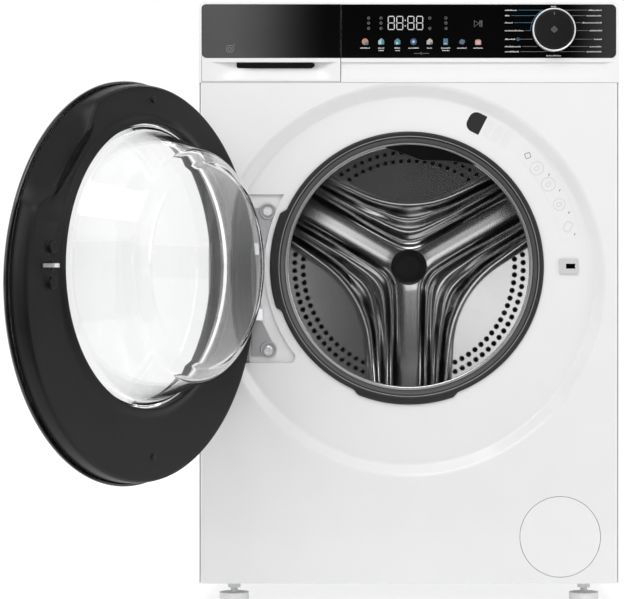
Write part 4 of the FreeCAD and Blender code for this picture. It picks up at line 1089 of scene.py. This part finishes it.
def dress_cad_nodes():
    for material, nodes in CARRIED:
        for node in nodes.split():
            NODES[node].data.materials.clear()
            NODES[node].data.materials.append(material)
    for node, width in SOFT_EDGES.items():
        soften(NODES[node], width)


# ---- studio ----

def slab(low, high):
    """A block between two corners in metres."""
    foot = ((low[0], low[1]), (high[0], low[1]), (high[0], high[1]), (low[0], high[1]))
    return skin([[Vector((x, y, z)) for x, y in foot] for z in (low[2], high[2])])


def make_studio():
    floor = solid("studio_floor", slab((-40, -40, -0.02), (40, 40, 0.0)))
    floor.data.materials.append(shade("floor_pale", 0.42, 0.7, vary=0.004, grain=40, relief=0.0,
                                      Emission_Color=(1, 1, 1, 1), Emission_Strength=0.66))
    for name, low, high, level in (("studio_dark_card", (-2.4, -4.31, 0.02), (2.4, -4.30, 2.3), 0.055),
                                   ("studio_dark_floor_card", (-2.4, -4.29, 0.02), (2.4, -1.0, 0.03), 0.055),
                                   ("studio_light_card", (-0.86, -4.11, 0.52), (0.23, -4.10, 1.05), 1.5)):
        card = solid(name, slab(low, high))
        card.data.materials.append(shade(name, 0.0, 1.0, vary=0.0, relief=0.0, Emission_Color=(1, 1, 1, 1),
                                         Emission_Strength=level, Specular_IOR_Level=0.0))
        card.visible_camera = card.visible_diffuse = card.visible_transmission = card.visible_shadow = False

    world = bpy.data.worlds.new("studio")
    bpy.context.scene.world = world
    world.use_nodes = True
    tree, add, join = node_tools(world)
    tree.nodes["Background"].inputs["Strength"].default_value = 1.0
    light = tree.nodes["Background"]
    place = add("ShaderNodeTexCoord")
    apart = add("ShaderNodeSeparateXYZ")
    join(place, "Generated", apart, "Vector")
    ramp = tree.nodes.new("ShaderNodeValToRGB")
    ramp.color_ramp.elements[0].color = (0.42, 0.42, 0.42, 1)
    ramp.color_ramp.elements[1].color = (0.95, 0.95, 0.95, 1)
    up = add("ShaderNodeMapRange", From_Min=-0.3, From_Max=1.0)
    join(apart, "Z", up, "Value")
    join(up, "Result", ramp, "Fac")
    kind = add("ShaderNodeLightPath")
    seen = add("ShaderNodeMath")
    seen.operation = "MAXIMUM"
    join(kind, "Is Camera Ray", seen, 0)
    join(kind, "Is Transmission Ray", seen, 1)
    mix = tree.nodes.new("ShaderNodeMix")
    mix.data_type = "RGBA"
    mix.inputs["B"].default_value = (1.0, 1.0, 1.0, 1)
    join(seen, "Value", mix, "Factor")
    join(ramp, "Color", mix, "A")
    join(mix, "Result", light, "Color")

    for name, place_at, aim, size, power in (
            ("key", (-0.6, -2.6, 3.4), (0, -0.1, 0.5), (2.6, 1.8), 62),
            ("fill_right", (3.2, -1.8, 1.6), (0, 0, 0.45), (1.6, 2.2), 26),
            ("fill_left", (-3.2, -1.4, 1.8), (0, 0, 0.45), (1.6, 2.2), 22),
            ("back", (0.8, 3.2, 2.6), (0, 0.2, 0.5), (2.6, 1.8), 55)):
        data = bpy.data.lights.new(name, "AREA")
        data.shape = "RECTANGLE"
        data.size, data.size_y = size
        data.energy = power
        data.use_shadow = True
        made = placed(name, data)
        made.location = place_at
        made.rotation_euler = (Vector(aim) - Vector(place_at)).to_track_quat("-Z", "Y").to_euler()
        made.visible_camera = False

    camera = placed("camera", bpy.data.cameras.new("camera"))
    camera.location = (0.0, -3.770, 0.468)
    camera.rotation_euler = (radians(90), 0, 0)
    camera.data.lens = 142.5
    camera.data.shift_x = -0.1554
    camera.data.shift_y = -0.0446
    bpy.context.scene.camera = camera
    bpy.context.scene.view_settings.view_transform = "Standard"


make_fascia()
make_drawer()
make_marks()
make_key_icons()
make_drawer_mark()
make_knob()
make_gasket()
make_spray_shroud()
make_hinge_plate()
make_screws()
make_strike()
make_labels()
make_door()
make_latch()
make_drum()
make_springs()
make_tub_hoses()
dress_cad_nodes()
make_studio()
